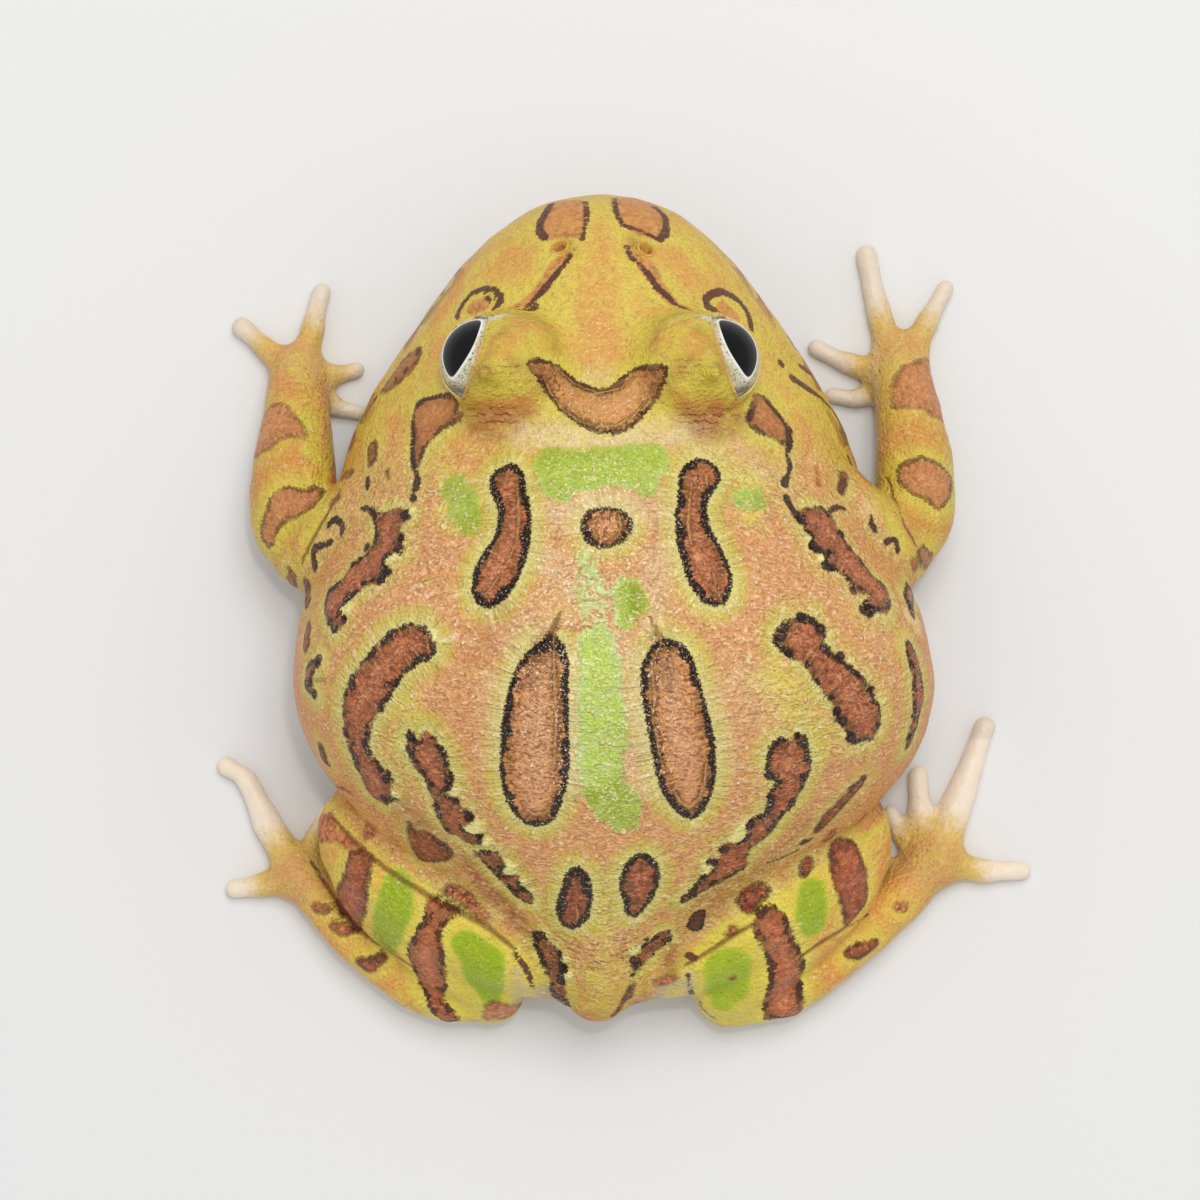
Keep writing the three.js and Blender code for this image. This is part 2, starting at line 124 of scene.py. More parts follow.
# Limbs: rows of (x, y, z, radius) along the middle
LIMBS = {
    "upper_arm_left": [(31, -10.5, 17.5, 8.2), (37.4, -7.6, 14.5, 7.2), (41, -6.6, 11.6, 5.2)],
    "forearm_left": [
        (41.6, -7.2, 11.4, 5.3), (43.8, -11.5, 10, 6.2), (43.9, -18.6, 8.4, 6), (43.6, -26, 6, 4.9),
        (43.8, -31, 4.2, 3.8),
    ],
    "upper_arm_right": [(-33, -10.5, 17.5, 8.2), (-39, -7.6, 14.5, 7), (-41.9, -6.8, 11.6, 5.1)],
    "forearm_right": [
        (-42.2, -7.6, 11.4, 5.1), (-44.8, -12.2, 10, 5.8), (-45.1, -19.4, 8.4, 5.5), (-44.3, -26.6, 6, 4.8),
        (-43.5, -31.7, 4.2, 4),
    ],
    "thigh_left": [(6, 50, 11.5, 7.2), (15, 46.6, 12, 9), (26, 39.6, 12, 9.2), (33.4, 33, 10.6, 7)],
    "shank_left": [(33.6, 35.6, 9.4, 6.4), (28.8, 41, 9.4, 8), (21, 48.4, 8.8, 7.6), (15.8, 54, 7.4, 5.6)],
    "tarsus_left": [(15.6, 56.6, 4.6, 4.6), (24.5, 55.6, 4.6, 4.4), (33.6, 49.4, 4.4, 4), (40, 43, 3.6, 3.2)],
    "thigh_right": [(-6, 50, 11.5, 7.2), (-15.6, 46.6, 12, 9), (-27, 39.6, 12, 9.2), (-34.6, 33.4, 10.6, 7)],
    "shank_right": [(-35.4, 36, 9.4, 6.4), (-31, 41.2, 9.4, 8), (-23.4, 48.8, 8.8, 7.6), (-18.2, 54.4, 7.4, 5.8)],
    "tarsus_right": [
        (-18.4, 57.2, 4.6, 4.6), (-27, 55.2, 4.6, 4.4), (-36.8, 48.4, 4.4, 4), (-44.2, 42, 3.6, 3.2),
    ],
}
PALMS = {
    "hand_left": [(43.9, -30.6, 3, 3.3), (43.6, -33.4, 2.2, 3.3)],
    "hand_right": [(-43.3, -31.4, 3, 3.3), (-43.5, -34.8, 2.2, 3.3)],
    "foot_left": [(39, 44, 2.6, 3), (43, 40.2, 2, 3)],
    "foot_right": [(-43.6, 42.8, 2.6, 3), (-47.8, 38.6, 2, 3.1)],
}
DIGITS = {
    "finger_1_left": [(41.6, -30.6, 2, 1.6), (38.2, -28, 1.5, 1.4), (34.9, -27.2, 1.2, 1.3)],
    "finger_2_left": [(41.8, -32.6, 2, 1.7), (38.4, -32.6, 1.5, 1.5), (35.2, -33.2, 1.2, 1.4)],
    "finger_3_left": [(43, -34, 2, 1.9), (41.6, -39, 1.6, 1.7), (40.3, -44.4, 1.3, 1.6)],
    "finger_4_left": [(45, -33.6, 2, 1.8), (48.6, -36.6, 1.6, 1.6), (51.7, -39.4, 1.3, 1.6)],
    "finger_1_right": [(-41.2, -30.4, 2, 1.6), (-37.2, -29.2, 1.5, 1.4), (-33.6, -29.6, 1.2, 1.3)],
    "finger_2_right": [(-41, -33, 2, 1.8), (-36, -34.2, 1.6, 1.6), (-31.4, -36.4, 1.3, 1.5)],
    "finger_3_right": [(-42, -36, 2, 2), (-40, -42.6, 1.6, 1.8), (-38.6, -49.8, 1.4, 1.7)],
    "finger_4_right": [(-45, -36, 2, 1.8), (-47.6, -40.6, 1.6, 1.6), (-50, -45, 1.3, 1.4)],
    "toe_1_left": [(41.2, 41.4, 1.7, 1.5), (37, 41.4, 1.3, 1.3), (33.8, 42.6, 1.1, 1.2)],
    "toe_2_left": [(41.2, 40, 1.7, 1.5), (38, 37.6, 1.3, 1.3), (35.4, 37.2, 1.1, 1.2)],
    "toe_3_left": [(42.2, 38.4, 1.8, 1.8), (41, 34, 1.4, 1.4), (39.6, 30.6, 1.2, 1.3)],
    "toe_4_left": [(43.8, 39.4, 2, 2.3), (48, 32.4, 1.6, 2), (51, 26.2, 1.4, 1.6), (54, 24, 1.3, 1.6)],
    "toe_5_left": [(44.2, 40.2, 2, 2.1), (48.9, 41.2, 1.6, 1.7), (52.8, 41.8, 1.3, 1.6)],
    "toe_1_right": [(-46, 39.6, 1.7, 1.5), (-42, 38.6, 1.3, 1.3), (-39, 38.8, 1.1, 1.2)],
    "toe_2_right": [(-46.2, 37.4, 1.7, 1.5), (-43.4, 33.6, 1.3, 1.3), (-42, 30.6, 1.1, 1.2)],
    "toe_3_right": [(-47.4, 36.8, 1.8, 2.2), (-46.3, 31, 1.5, 1.8), (-46, 25.4, 1.2, 1.6)],
    "toe_4_right": [(-48.8, 37.2, 2, 2.7), (-52.2, 28, 1.6, 2.2), (-55.6, 18.4, 1.4, 1.7)],
    "toe_5_right": [(-49.6, 38, 2, 2.3), (-55.4, 39.1, 1.6, 1.7), (-61, 39.2, 1.3, 1.5)],
}
# How softly each kind of limb runs into what it grows from, in millimetres
BLEND = {
    "upper_arm": 2.4, "forearm": 1.6, "hand": 2.2, "thigh": 1.6, "shank": 0.9, "tarsus": 1.1, "foot": 2.2,
    "digit": 2.2,
}
# The same for the brow, the horn, the lids and their open edges, and for the flat underside
BROW_BLEND = 3.0
HORN_BLEND = 1.6
LID_BLEND = 1.6
LID_ROUNDING = 0.35
FLOOR_BLEND = 0.5

# The pupil: the way it faces, the way its long axis runs and its half angles in degrees
PUPIL_AHEAD = np.array([0.6, -0.4, 0.7])
PUPIL_LONG = np.array([0.5, 0.84, 0.2])
PUPIL_LEVEL = 49
PUPIL_UPRIGHT = 27
# How far round a marking its halo reaches, in millimetres
HALO_REACH = 5.0
# Where the head passes into the trunk, along Y
NECK = (-30, -14)
# Level wrinkles: from one to the next, and how they bow on the back, in millimetres per square millimetre
WRINKLE_PITCH = 0.95
WRINKLE_BOW = 0.057
# A wart's foot lies this many of its traced radii from its middle
WART_SPREAD = 2.2
# Green flushes further down the photograph than this pixel lie on the hind legs and have sharper edges
HIND_LEG_PIXEL = 850

# Relief in millimetres: how far rims, dark lines and warts stand proud, low swellings of (height, size), how deep
# the line of the mouth is, and how deep a fold is for its half width
RIM_LIFT = 0.24
INK_LIFT = 0.2
WART_LIFT = 0.55
SWELLINGS = ((0.16, 4.6), (0.09, 2.1))
NOISE_SEED = 11
MOUTH_DEPTH = 0.25
FOLD_DEPTH = 1.6

# The lattice that the skin is found on
LATTICE_LOW = np.array([-64.0, -60.5, -1.5])
LATTICE_HIGH = np.array([58.0, 63.0, 49.0])
SKIN_CELL = 0.64

# The photograph's view: the camera's height, its distance from the plane in which the frame's width is measured,
# that width in millimetres, and the frame's width in pixels
CAMERA_HEIGHT = 900.0
CAMERA_REACH = 870.0
FRAME_WIDTH = 168.0
FRAME_PIXELS = 1200

# A distance longer than any here, and the depth of a point that lies in or near no marking
FAR = 1e3
OUTSIDE = -9.0

# Markings, traced on the view from above: (name, look, rows in the photograph's 1200-pixel frame)
# Rows of (x, y) are an outline, a closed curve; rows of (x, y, radius) are a band, a string of discs.
# Look: (rim strength, how broken the rim is, fill from orange 0 to red-brown 1, halo strength, rim width in mm)
BOLD = (1.0, 0.0, 0.56, 1.0, 0.85)
RUGGED = (0.95, 0.8, 0.64, 0.9, 0.9)
RING = (1.0, 0.15, 0.2, 0.8, 0.8)
PLAIN = (0.6, 0.6, 0.9, 0.5, 0.7)
SOFT = (0.35, 0.4, 0.35, 0.3, 0.6)
FAINT = (0.1, 0.2, 0.35, 0.1, 0.4)
STROKE = (1.0, 0.2, 1.0, 0.35, 1.4)
INK = (0.85, 0.3, 0.9, 0.2, 1.4)
BRIDLE = (0.0, 0.0, 0.1, 0.3, 0.3)
SNOUT = (0.0, 0.0, 0.12, 0.6, 0.3)
TEMPLE = (0.7, 0.5, 0.6, 0.8, 0.6)
OVAL = (1.0, 0.0, 0.08, 1.0, 0.95)
MARKINGS = [
    ("snout_left", SNOUT, [
        (547, 205), (556, 201), (570, 199), (584, 200), (587, 214), (585, 228), (580, 238), (566, 237), (551, 240),
        (541, 238), (537, 229), (541, 217),
    ]),
    ("snout_right", SNOUT, [
        (613, 199), (630, 198), (648, 201), (659, 207), (666, 217), (667, 229), (661, 240), (642, 236), (627, 229),
        (618, 217),
    ]),
    ("snout_edge_left", INK, [(552, 204, 3.5), (546, 212, 4.5), (541, 221, 4), (539, 230, 4), (544, 238, 4.5)]),
    ("snout_inner_left", INK, [(585, 201, 3), (587, 213, 3), (586, 224, 2.5), (582, 239, 2.5)]),
    ("snout_edge_right", INK, [(655, 207, 4), (664, 215, 4), (667, 225, 4), (665, 234, 4.5), (660, 239, 4.5)]),
    ("snout_inner_right", INK, [
        (614, 199, 2.5), (615, 208, 3), (618, 218, 3), (623, 226, 3), (636, 229, 2), (648, 234, 2), (658, 239, 3),
    ]),
    ("bridle_left", BRIDLE, [
        (571, 252, 4), (563, 259, 6), (556, 266, 8), (550, 276, 8), (543, 288, 7), (532, 299, 7), (521, 305, 4.5),
        (509, 309, 2),
    ]),
    ("bridle_right", BRIDLE, [
        (629, 251, 3), (638, 259, 6), (648, 268, 9), (656, 282, 8), (664, 294, 7), (674, 304, 6), (693, 311, 2),
    ]),
    ("bridle_line_left", INK, [
        (573, 250, 2), (567, 261, 2.6), (558, 272, 3), (550, 282, 4), (542, 292, 3.6), (533, 301, 3), (526, 307, 2.4),
    ]),
    ("bridle_line_right", INK, [
        (627, 247, 2.6), (630, 256, 2.6), (639, 264, 2), (648, 274, 3.4), (656, 287, 4), (667, 297, 3.6),
        (678, 307, 3), (691, 311, 2),
    ]),
    ("bridle_spot", INK, [(536, 307, 4), (530, 310, 2.5), (516, 310, 1.6)]),
    ("hook_left_core", BRIDLE, [(474, 308, 9), (484, 305, 8)]),
    ("hook_right_core", BRIDLE, [(724, 309, 9), (734, 318, 8)]),
    ("hook_left", INK, [
        (455, 329, 3.4), (457, 316, 3.4), (463, 304, 3), (472, 294, 3.4), (484, 289, 3.6), (495, 290, 3.6),
        (501, 296, 4), (501, 303, 4), (495, 309, 3.6),
    ]),
    ("hook_left_fold", INK, [(485, 296, 2), (490, 301, 3)]),
    ("hook_right", INK, [
        (751, 331, 3), (750, 321, 3.4), (746, 310, 3.6), (740, 302, 4), (732, 296, 4.6), (722, 292, 4.6),
        (712, 293, 4.4), (706, 300, 4.2), (707, 307, 4), (715, 310, 3.4),
    ]),
    ("cheek_left", PLAIN, [
        (381, 391), (389, 379), (400, 364), (411, 353), (422, 350), (420, 359), (411, 373), (399, 384), (388, 392),
    ]),
    ("cheek_left_edge", STROKE, [(376, 397, 2.5), (366, 414, 2.5)]),
    ("cheek_dot_right", STROKE, [(781, 363, 5), (782, 365, 4)]),
    ("cheek_right_a", STROKE, [(799, 366, 2.5), (806, 370, 3.5), (812, 375, 2.5)]),
    ("cheek_right_b", STROKE, [(793, 379, 5), (801, 385, 4), (811, 391, 4.5), (820, 397, 3), (834, 414, 2)]),
    ("snout_side_right", STROKE, [(741, 267, 2), (746, 275, 2.5)]),
    ("smile", (0.95, 0.3, 0.08, 0.7, 0.6), [
        (528, 365), (533, 360), (541, 360), (552, 364), (562, 371), (574, 381), (586, 387), (600, 391), (614, 387),
        (624, 378), (634, 371), (646, 367), (658, 366), (667, 367), (665, 378), (660, 391), (652, 403), (645, 412),
        (637, 421), (627, 428), (615, 433), (600, 432), (585, 426), (572, 418), (560, 408), (550, 396), (541, 382),
        (533, 372),
    ]),
    ("temple_left", TEMPLE, [
        (419, 402), (430, 398), (441, 396), (451, 394), (458, 410), (461, 418), (450, 425), (438, 433), (429, 442),
        (422, 455), (417, 470), (412, 468), (412, 452), (415, 438), (413, 424), (415, 411),
    ]),
    ("temple_left_line", STROKE, [
        (413, 424, 3.5), (413, 440, 3), (412, 454, 3), (414, 466, 3), (418, 477, 3), (417, 487, 5.5),
    ]),
    ("temple_left_top", STROKE, [(418, 406, 3), (428, 399, 3), (440, 397, 2.5), (450, 394, 2.5)]),
    ("temple_left_bead", STROKE, [(413, 497, 4), (414, 499, 3.5)]),
    ("temple_right", TEMPLE, [
        (755, 394), (768, 402), (779, 415), (789, 429), (791, 444), (783, 443), (770, 437), (756, 430), (746, 422),
        (750, 409),
    ]),
    ("temple_right_line", STROKE, [
        (787, 432, 4), (790, 444, 4.5), (787, 454, 2.5), (790, 464, 3.5), (788, 474, 2.5), (784, 484, 5.5),
    ]),
    ("temple_right_corner", STROKE, [(748, 420, 4), (752, 412, 2.5)]),
    ("temple_right_top", STROKE, [(767, 403, 3), (778, 415, 2.5), (786, 428, 3)]),
    ("temple_right_bead", STROKE, [(786, 498, 4), (790, 506, 3.5), (796, 516, 4.5)]),
    ("pin_left", BOLD, [
        (507, 466), (517, 468), (523, 476), (524, 488), (527, 500), (529, 515), (530, 530), (528, 545), (524, 560),
        (518, 576), (509, 591), (499, 602), (488, 606), (478, 602), (474, 592), (474, 580), (478, 565), (486, 552),
        (495, 540), (499, 527), (500, 512), (496, 500), (492, 488), (494, 474),
    ]),
    ("pin_right", BOLD, [
        (699, 461), (709, 463), (717, 471), (718, 482), (711, 492), (706, 502), (706, 514), (709, 528), (717, 543),
        (725, 560), (730, 577), (729, 592), (722, 602), (712, 604), (702, 598), (693, 586), (686, 570), (681, 552),
        (678, 534), (677, 516), (679, 500), (680, 485), (683, 470), (690, 463),
    ]),
    ("ring", RING, [
        (583, 523), (587, 514), (597, 510), (610, 509), (622, 512), (630, 520), (630, 531), (622, 541), (610, 546),
        (597, 546), (588, 541), (584, 533),
    ]),
    ("shoulder_band_left", RUGGED, [
        (371, 510), (382, 513), (394, 511), (400, 507), (408, 512), (408, 520), (401, 526), (403, 540), (401, 553),
        (391, 558), (385, 566), (389, 573), (384, 580), (374, 582), (360, 590), (349, 600), (343, 612), (346, 620),
        (340, 628), (334, 630), (327, 618), (325, 604), (328, 592), (340, 583), (349, 572), (357, 561), (368, 556),
        (367, 548), (374, 543), (376, 528),
    ]),
    ("shoulder_start_left", STROKE, [(362, 508, 2.5), (368, 509, 3), (375, 513, 3.5), (376, 519, 3)]),
    ("shoulder_band_right", RUGGED, [
        (800, 510), (815, 508), (827, 512), (834, 522), (840, 535), (850, 548), (862, 562), (874, 577), (884, 586),
        (889, 600), (887, 614), (878, 610), (868, 612), (862, 604), (868, 597), (856, 590), (847, 579), (838, 571),
        (827, 570), (824, 561), (829, 553), (818, 553), (810, 546), (812, 538), (806, 530), (798, 521),
    ]),
    ("shoulder_start_right", STROKE, [(829, 511, 3), (838, 507, 3.5), (845, 509, 2)]),
    ("boomerang_left", RUGGED, [
        (400, 628), (412, 625), (424, 627), (430, 634), (436, 643), (432, 654), (420, 662), (407, 671), (397, 682),
        (390, 695), (383, 708), (374, 717), (370, 728), (370, 742), (371, 754), (379, 764), (391, 775), (391, 787),
        (396, 797), (384, 803), (372, 795), (364, 783), (358, 768), (352, 755), (348, 742), (345, 727), (343, 712),
        (345, 697), (351, 682), (360, 668), (370, 654), (380, 643), (390, 634),
    ]),
    ("boomerang_right", RUGGED, [
        (783, 624), (793, 617), (806, 617), (817, 622), (824, 632), (822, 643), (833, 652), (847, 663), (860, 676),
        (870, 690), (878, 706), (880, 722), (874, 736), (862, 741), (850, 741), (847, 731), (838, 722), (834, 710),
        (829, 698), (820, 686), (811, 673), (800, 662), (787, 654), (777, 645), (775, 634),
    ]),
    ("oval_left", OVAL, [
        (552, 635), (561, 643), (566, 656), (567, 680), (567, 710), (567, 740), (567, 765), (565, 785), (560, 803),
        (552, 819), (540, 825), (528, 823), (516, 813), (507, 798), (503, 780), (502, 760), (503, 735), (506, 710),
        (511, 688), (519, 667), (530, 652), (543, 641),
    ]),
    ("oval_right", OVAL, [
        (660, 640), (672, 640), (684, 648), (692, 662), (698, 682), (703, 702), (709, 722), (713, 742), (714, 762),
        (713, 780), (709, 797), (702, 810), (691, 818), (679, 812), (668, 798), (660, 780), (655, 760), (651, 738),
        (647, 714), (643, 690), (643, 668), (649, 652),
    ]),
    ("oval_fold_left", (0.5, 0.2, 0.6, 0.2, 0.5), [(550, 636, 3), (552, 630, 1.6), (558, 618, 1.2)]),
    ("v_left", RUGGED, [
        (410, 731), (418, 741), (426, 730), (434, 736), (442, 747), (448, 759), (451, 773), (452, 787), (447, 791),
        (456, 795), (461, 803), (461, 811), (468, 809), (474, 818), (465, 824), (471, 834), (481, 835), (480, 843),
        (470, 843), (459, 836), (448, 831), (440, 820), (436, 808), (432, 795), (426, 780), (418, 770), (411, 757),
        (407, 744),
    ]),
    ("v_left_end", RUGGED, [
        (476, 854), (486, 851), (497, 854), (505, 862), (505, 872), (516, 875), (522, 885), (528, 893), (531, 903),
        (521, 899), (510, 889), (500, 878), (489, 867),
    ]),
    ("v_right", RUGGED, [
        (799, 731), (806, 744), (809, 760), (807, 775), (802, 788), (796, 800), (785, 812), (777, 823), (771, 833),
        (761, 841), (752, 848), (747, 857), (745, 867), (734, 875), (720, 881), (704, 890), (693, 897), (681, 902),
        (687, 893), (697, 884), (704, 875), (712, 866), (709, 860), (719, 857), (720, 847), (730, 841), (743, 840),
        (747, 832), (744, 825), (753, 819), (762, 814), (769, 805), (766, 796), (774, 789), (775, 779), (767, 777),
        (766, 764), (769, 750), (777, 741), (786, 739), (793, 742),
    ]),
    ("rump_oval_left", (1.0, 0.1, 0.9, 1.0, 1.0), [
        (574, 867), (583, 871), (590, 884), (590, 900), (588, 915), (579, 925), (568, 927), (560, 918), (558, 905),
        (562, 892), (566, 878),
    ]),
    ("rump_oval_right", (1.0, 0.1, 0.75, 1.0, 0.85), [
        (639, 854), (651, 858), (658, 870), (656, 886), (648, 903), (635, 916), (626, 910), (624, 898), (621, 884),
        (625, 867),
    ]),
    ("wedge_left", RUGGED, [
        (536, 933), (543, 933), (551, 942), (559, 949), (562, 959), (567, 969), (563, 977), (564, 990), (569, 1004),
        (563, 1008), (556, 998), (550, 984), (545, 968), (540, 953), (535, 943),
    ]),
    ("wedge_right", RUGGED, [
        (667, 931), (670, 937), (660, 946), (649, 957), (639, 968), (634, 976), (631, 967), (632, 959), (641, 954),
        (645, 944), (656, 937),
    ]),
    ("wedge_right_tail", PLAIN, [(632, 982, 2), (628, 995, 3), (620, 1007, 3), (612, 1017, 2)]),
    ("hip_left", PLAIN, [
        (410, 822), (416, 831), (426, 830), (438, 838), (448, 846), (452, 852), (448, 860), (434, 861), (420, 859),
        (414, 848), (408, 835),
    ]),
    ("hip_right", PLAIN, [(862, 780, 5), (855, 788, 7), (843, 800, 7), (830, 816, 8), (819, 829, 5)]),
    ("hip_right_dot", STROKE, [(803, 842, 4), (811, 839, 3)]),
    ("flank_dash_right", STROKE, [(768, 862, 1.4), (782, 857, 1.6), (797, 849, 2)]),
    ("side_left_a", PLAIN, [(373, 448, 7), (372, 461, 6)]),
    ("side_left_b", STROKE, [(368, 479, 3.5), (368, 487, 3.5)]),
    ("side_left_c", SOFT, [(343, 476, 5), (351, 474, 5)]),
    ("side_left_d", SOFT, [(333, 502, 5), (338, 498, 5)]),
    ("side_left_hook", STROKE, [(329, 527, 2.5), (331, 522, 3.5), (337, 519, 4), (343, 526, 4), (342, 534, 3.5)]),
    ("side_left_hook_low", STROKE, [
        (333, 541, 2.5), (324, 545, 3.5), (316, 547, 3.5), (314, 556, 3.5), (316, 567, 5),
    ]),
    ("side_left_dash", STROKE, [(307, 590, 3), (307, 603, 3)]),
    ("side_left_dot", SOFT, [(388, 472, 3), (389, 477, 3)]),
    ("side_left_e", PLAIN, [(292, 572, 4.5), (292, 593, 5)]),
    ("side_left_f", PLAIN, [(307, 584, 5), (308, 602, 6)]),
    ("side_left_g", PLAIN, [(308, 627, 7), (306, 646, 7)]),
    ("side_left_ring", RUGGED, [(318, 660, 5), (310, 672, 6), (309, 685, 6), (315, 694, 4)]),
    ("side_left_h", PLAIN, [(322, 748, 6), (326, 760, 6)]),
    ("side_left_i", FAINT, [(372, 826, 8), (368, 833, 7)]),
    ("side_right_a", PLAIN, [(844, 474, 4.5), (841, 490, 5)]),
    ("side_right_b", STROKE, [(849, 457, 3), (851, 464, 3)]),
    ("side_right_c", FAINT, [(816, 468, 3), (819, 484, 4)]),
    ("side_right_d", STROKE, [(871, 516, 2.5), (872, 525, 4), (875, 530, 4)]),
    ("side_right_e", STROKE, [(885, 543, 4), (891, 540, 3), (896, 541, 3), (897, 551, 3.5)]),
    ("side_right_f", SOFT, [(912, 560, 4), (915, 568, 4)]),
    ("side_right_ring", RING, [(908, 588, 5), (908, 600, 8), (912, 612, 5)]),
    ("side_right_long", RUGGED, [
        (908, 648, 6), (913, 660, 8), (917, 676, 10), (919, 695, 10), (917, 715, 9), (912, 732, 7), (909, 744, 6),
    ]),
    ("elbow_right", PLAIN, [(921, 553, 7), (928, 562, 8)]),
    ("forearm_left_band", SOFT, [
        (262, 418), (278, 404), (292, 412), (303, 428), (306, 437), (290, 437), (275, 444), (264, 452), (253, 460),
        (252, 445), (257, 432),
    ]),
    ("forearm_left_patch", (0.6, 0.3, 0.4, 0.7, 0.6), [
        (277, 493), (290, 488), (305, 490), (320, 489), (322, 497), (313, 508), (300, 515), (286, 521), (277, 531),
        (272, 545), (264, 540), (262, 526), (268, 508),
    ]),
    ("wrist_right_band", SOFT, [
        (898, 372), (912, 364), (928, 362), (934, 380), (943, 400), (947, 421), (936, 416), (922, 408), (906, 406),
        (892, 404),
    ]),
    ("forearm_right_patch", (0.6, 0.3, 0.3, 0.7, 0.6), [
        (899, 469), (908, 461), (921, 458), (936, 463), (948, 474), (952, 486), (944, 504), (938, 508), (926, 500),
        (912, 492), (901, 482),
    ]),
    ("shank_left_bar", PLAIN, [
        (352, 848), (366, 851), (372, 861), (369, 880), (367, 900), (363, 919), (360, 930), (351, 924), (341, 911),
        (336, 899), (339, 887), (345, 874), (349, 860),
    ]),
    ("shank_left_band", RUGGED, [
        (431, 898), (445, 903), (459, 911), (451, 917), (443, 925), (441, 938), (442, 952), (444, 967), (447, 981),
        (444, 995), (448, 1008), (461, 1019), (445, 1021), (432, 1009), (426, 995), (420, 980), (414, 968),
        (409, 955), (410, 942), (418, 930), (424, 918), (427, 908),
    ]),
    ("thigh_left_bar", SOFT, [
        (440, 893), (450, 885), (461, 885), (471, 893), (479, 902), (487, 912), (491, 921), (480, 920), (468, 910),
        (455, 900),
    ]),
    ("heel_left", SOFT, [(487, 1006), (500, 1002), (522, 1002), (516, 1012), (500, 1019), (485, 1019)]),
    ("heel_left_edge", STROKE, [(515, 954, 2.5), (524, 965, 3.5), (530, 977, 3), (533, 988, 2)]),
    ("knee_left", (0.15, 0.3, 0.5, 0.2, 0.5), [
        (312, 838), (318, 822), (327, 812), (336, 826), (350, 838), (360, 848), (345, 848), (328, 842),
    ]),
    ("tarsus_left_a", SOFT, [(316, 907, 5), (324, 910, 4)]),
    ("tarsus_left_b", SOFT, [(333, 926, 4), (341, 929, 6), (349, 931, 4)]),
    ("tarsus_left_c", PLAIN, [(361, 962, 5), (370, 966, 7), (382, 957, 6)]),
    ("tarsus_left_d", SOFT, [(396, 1003, 5), (404, 1010, 4)]),
    ("shank_right_bar", PLAIN, [
        (834, 838), (846, 838), (857, 848), (864, 865), (868, 886), (864, 903), (856, 916), (846, 926), (843, 914),
        (840, 900), (834, 884), (831, 868), (830, 852),
    ]),
    ("shank_right_band", RUGGED, [
        (757, 914), (765, 908), (777, 908), (786, 920), (792, 936), (799, 950), (803, 966), (800, 984), (803, 1001),
        (798, 1012), (780, 1018), (765, 1016), (764, 1001), (770, 981), (768, 961), (760, 943), (754, 928),
    ]),
    ("thigh_right_a", PLAIN, [(806, 862, 6), (805, 871, 6)]),
    ("thigh_right_b", PLAIN, [
        (736, 896), (745, 887), (756, 882), (768, 885), (766, 896), (757, 905), (748, 913), (739, 906),
    ]),
    ("thigh_right_c", STROKE, [(698, 914, 9), (695, 923, 9)]),
    ("thigh_right_d", SOFT, [(733, 930, 5), (729, 933, 4)]),
    ("thigh_right_e", STROKE, [(688, 956, 4), (694, 959, 4.5)]),
    ("thigh_right_f", SOFT, [(658, 983, 5), (672, 979, 5)]),
    ("thigh_right_g", FAINT, [(828, 838, 8), (832, 832, 7)]),
    ("knee_right_line", STROKE, [(688, 975, 2.5), (691, 992, 2.5), (700, 1006, 2.5), (716, 1020, 2.5)]),
    ("green_eye_right", PLAIN, [(732, 977, 2.5), (733, 979, 2.5)]),
    ("tarsus_right_a", SOFT, [(898, 907, 4), (903, 907, 4)]),
    ("tarsus_right_b", PLAIN, [(851, 953, 6), (862, 950, 9), (874, 943, 6)]),
    ("tarsus_right_c", SOFT, [(820, 1003, 4), (832, 997, 4)]),
]
# Green flushes, in the same frame: bands of (x, y, radius) with a strength
GREENS = [
    (1.0, [(550, 464, 13), (562, 472, 20), (590, 469, 18), (620, 467, 18), (651, 461, 15)]),
    (0.9, [(556, 484, 14), (562, 492, 8)]),
    (0.9, [(640, 478, 16), (645, 486, 10)]),
    (0.8, [(455, 488, 13), (464, 506, 15), (470, 524, 10)]),
    (0.8, [(742, 499, 9), (756, 499, 10)]),
    (0.55, [(586, 560, 10), (590, 585, 14), (594, 615, 14)]),
    (1.0, [(626, 590, 10), (630, 604, 15), (626, 618, 8)]),
    (0.85, [(596, 640, 14), (600, 665, 18), (600, 700, 20), (604, 730, 22), (600, 765, 20), (604, 785, 18)]),
    (1.0, [(604, 790, 18), (618, 806, 20), (624, 818, 12)]),
    (0.4, [(428, 575, 5), (430, 579, 4)]),
    (1.0, [(397, 884, 13), (395, 906, 18), (387, 930, 16), (384, 948, 12)]),
    (1.0, [(466, 944, 13), (482, 962, 21), (485, 984, 18), (492, 1000, 8)]),
    (1.0, [(812, 892, 13), (812, 910, 16), (814, 926, 12)]),
    (0.8, [(728, 968, 24), (726, 988, 22), (722, 1002, 12)]),
]
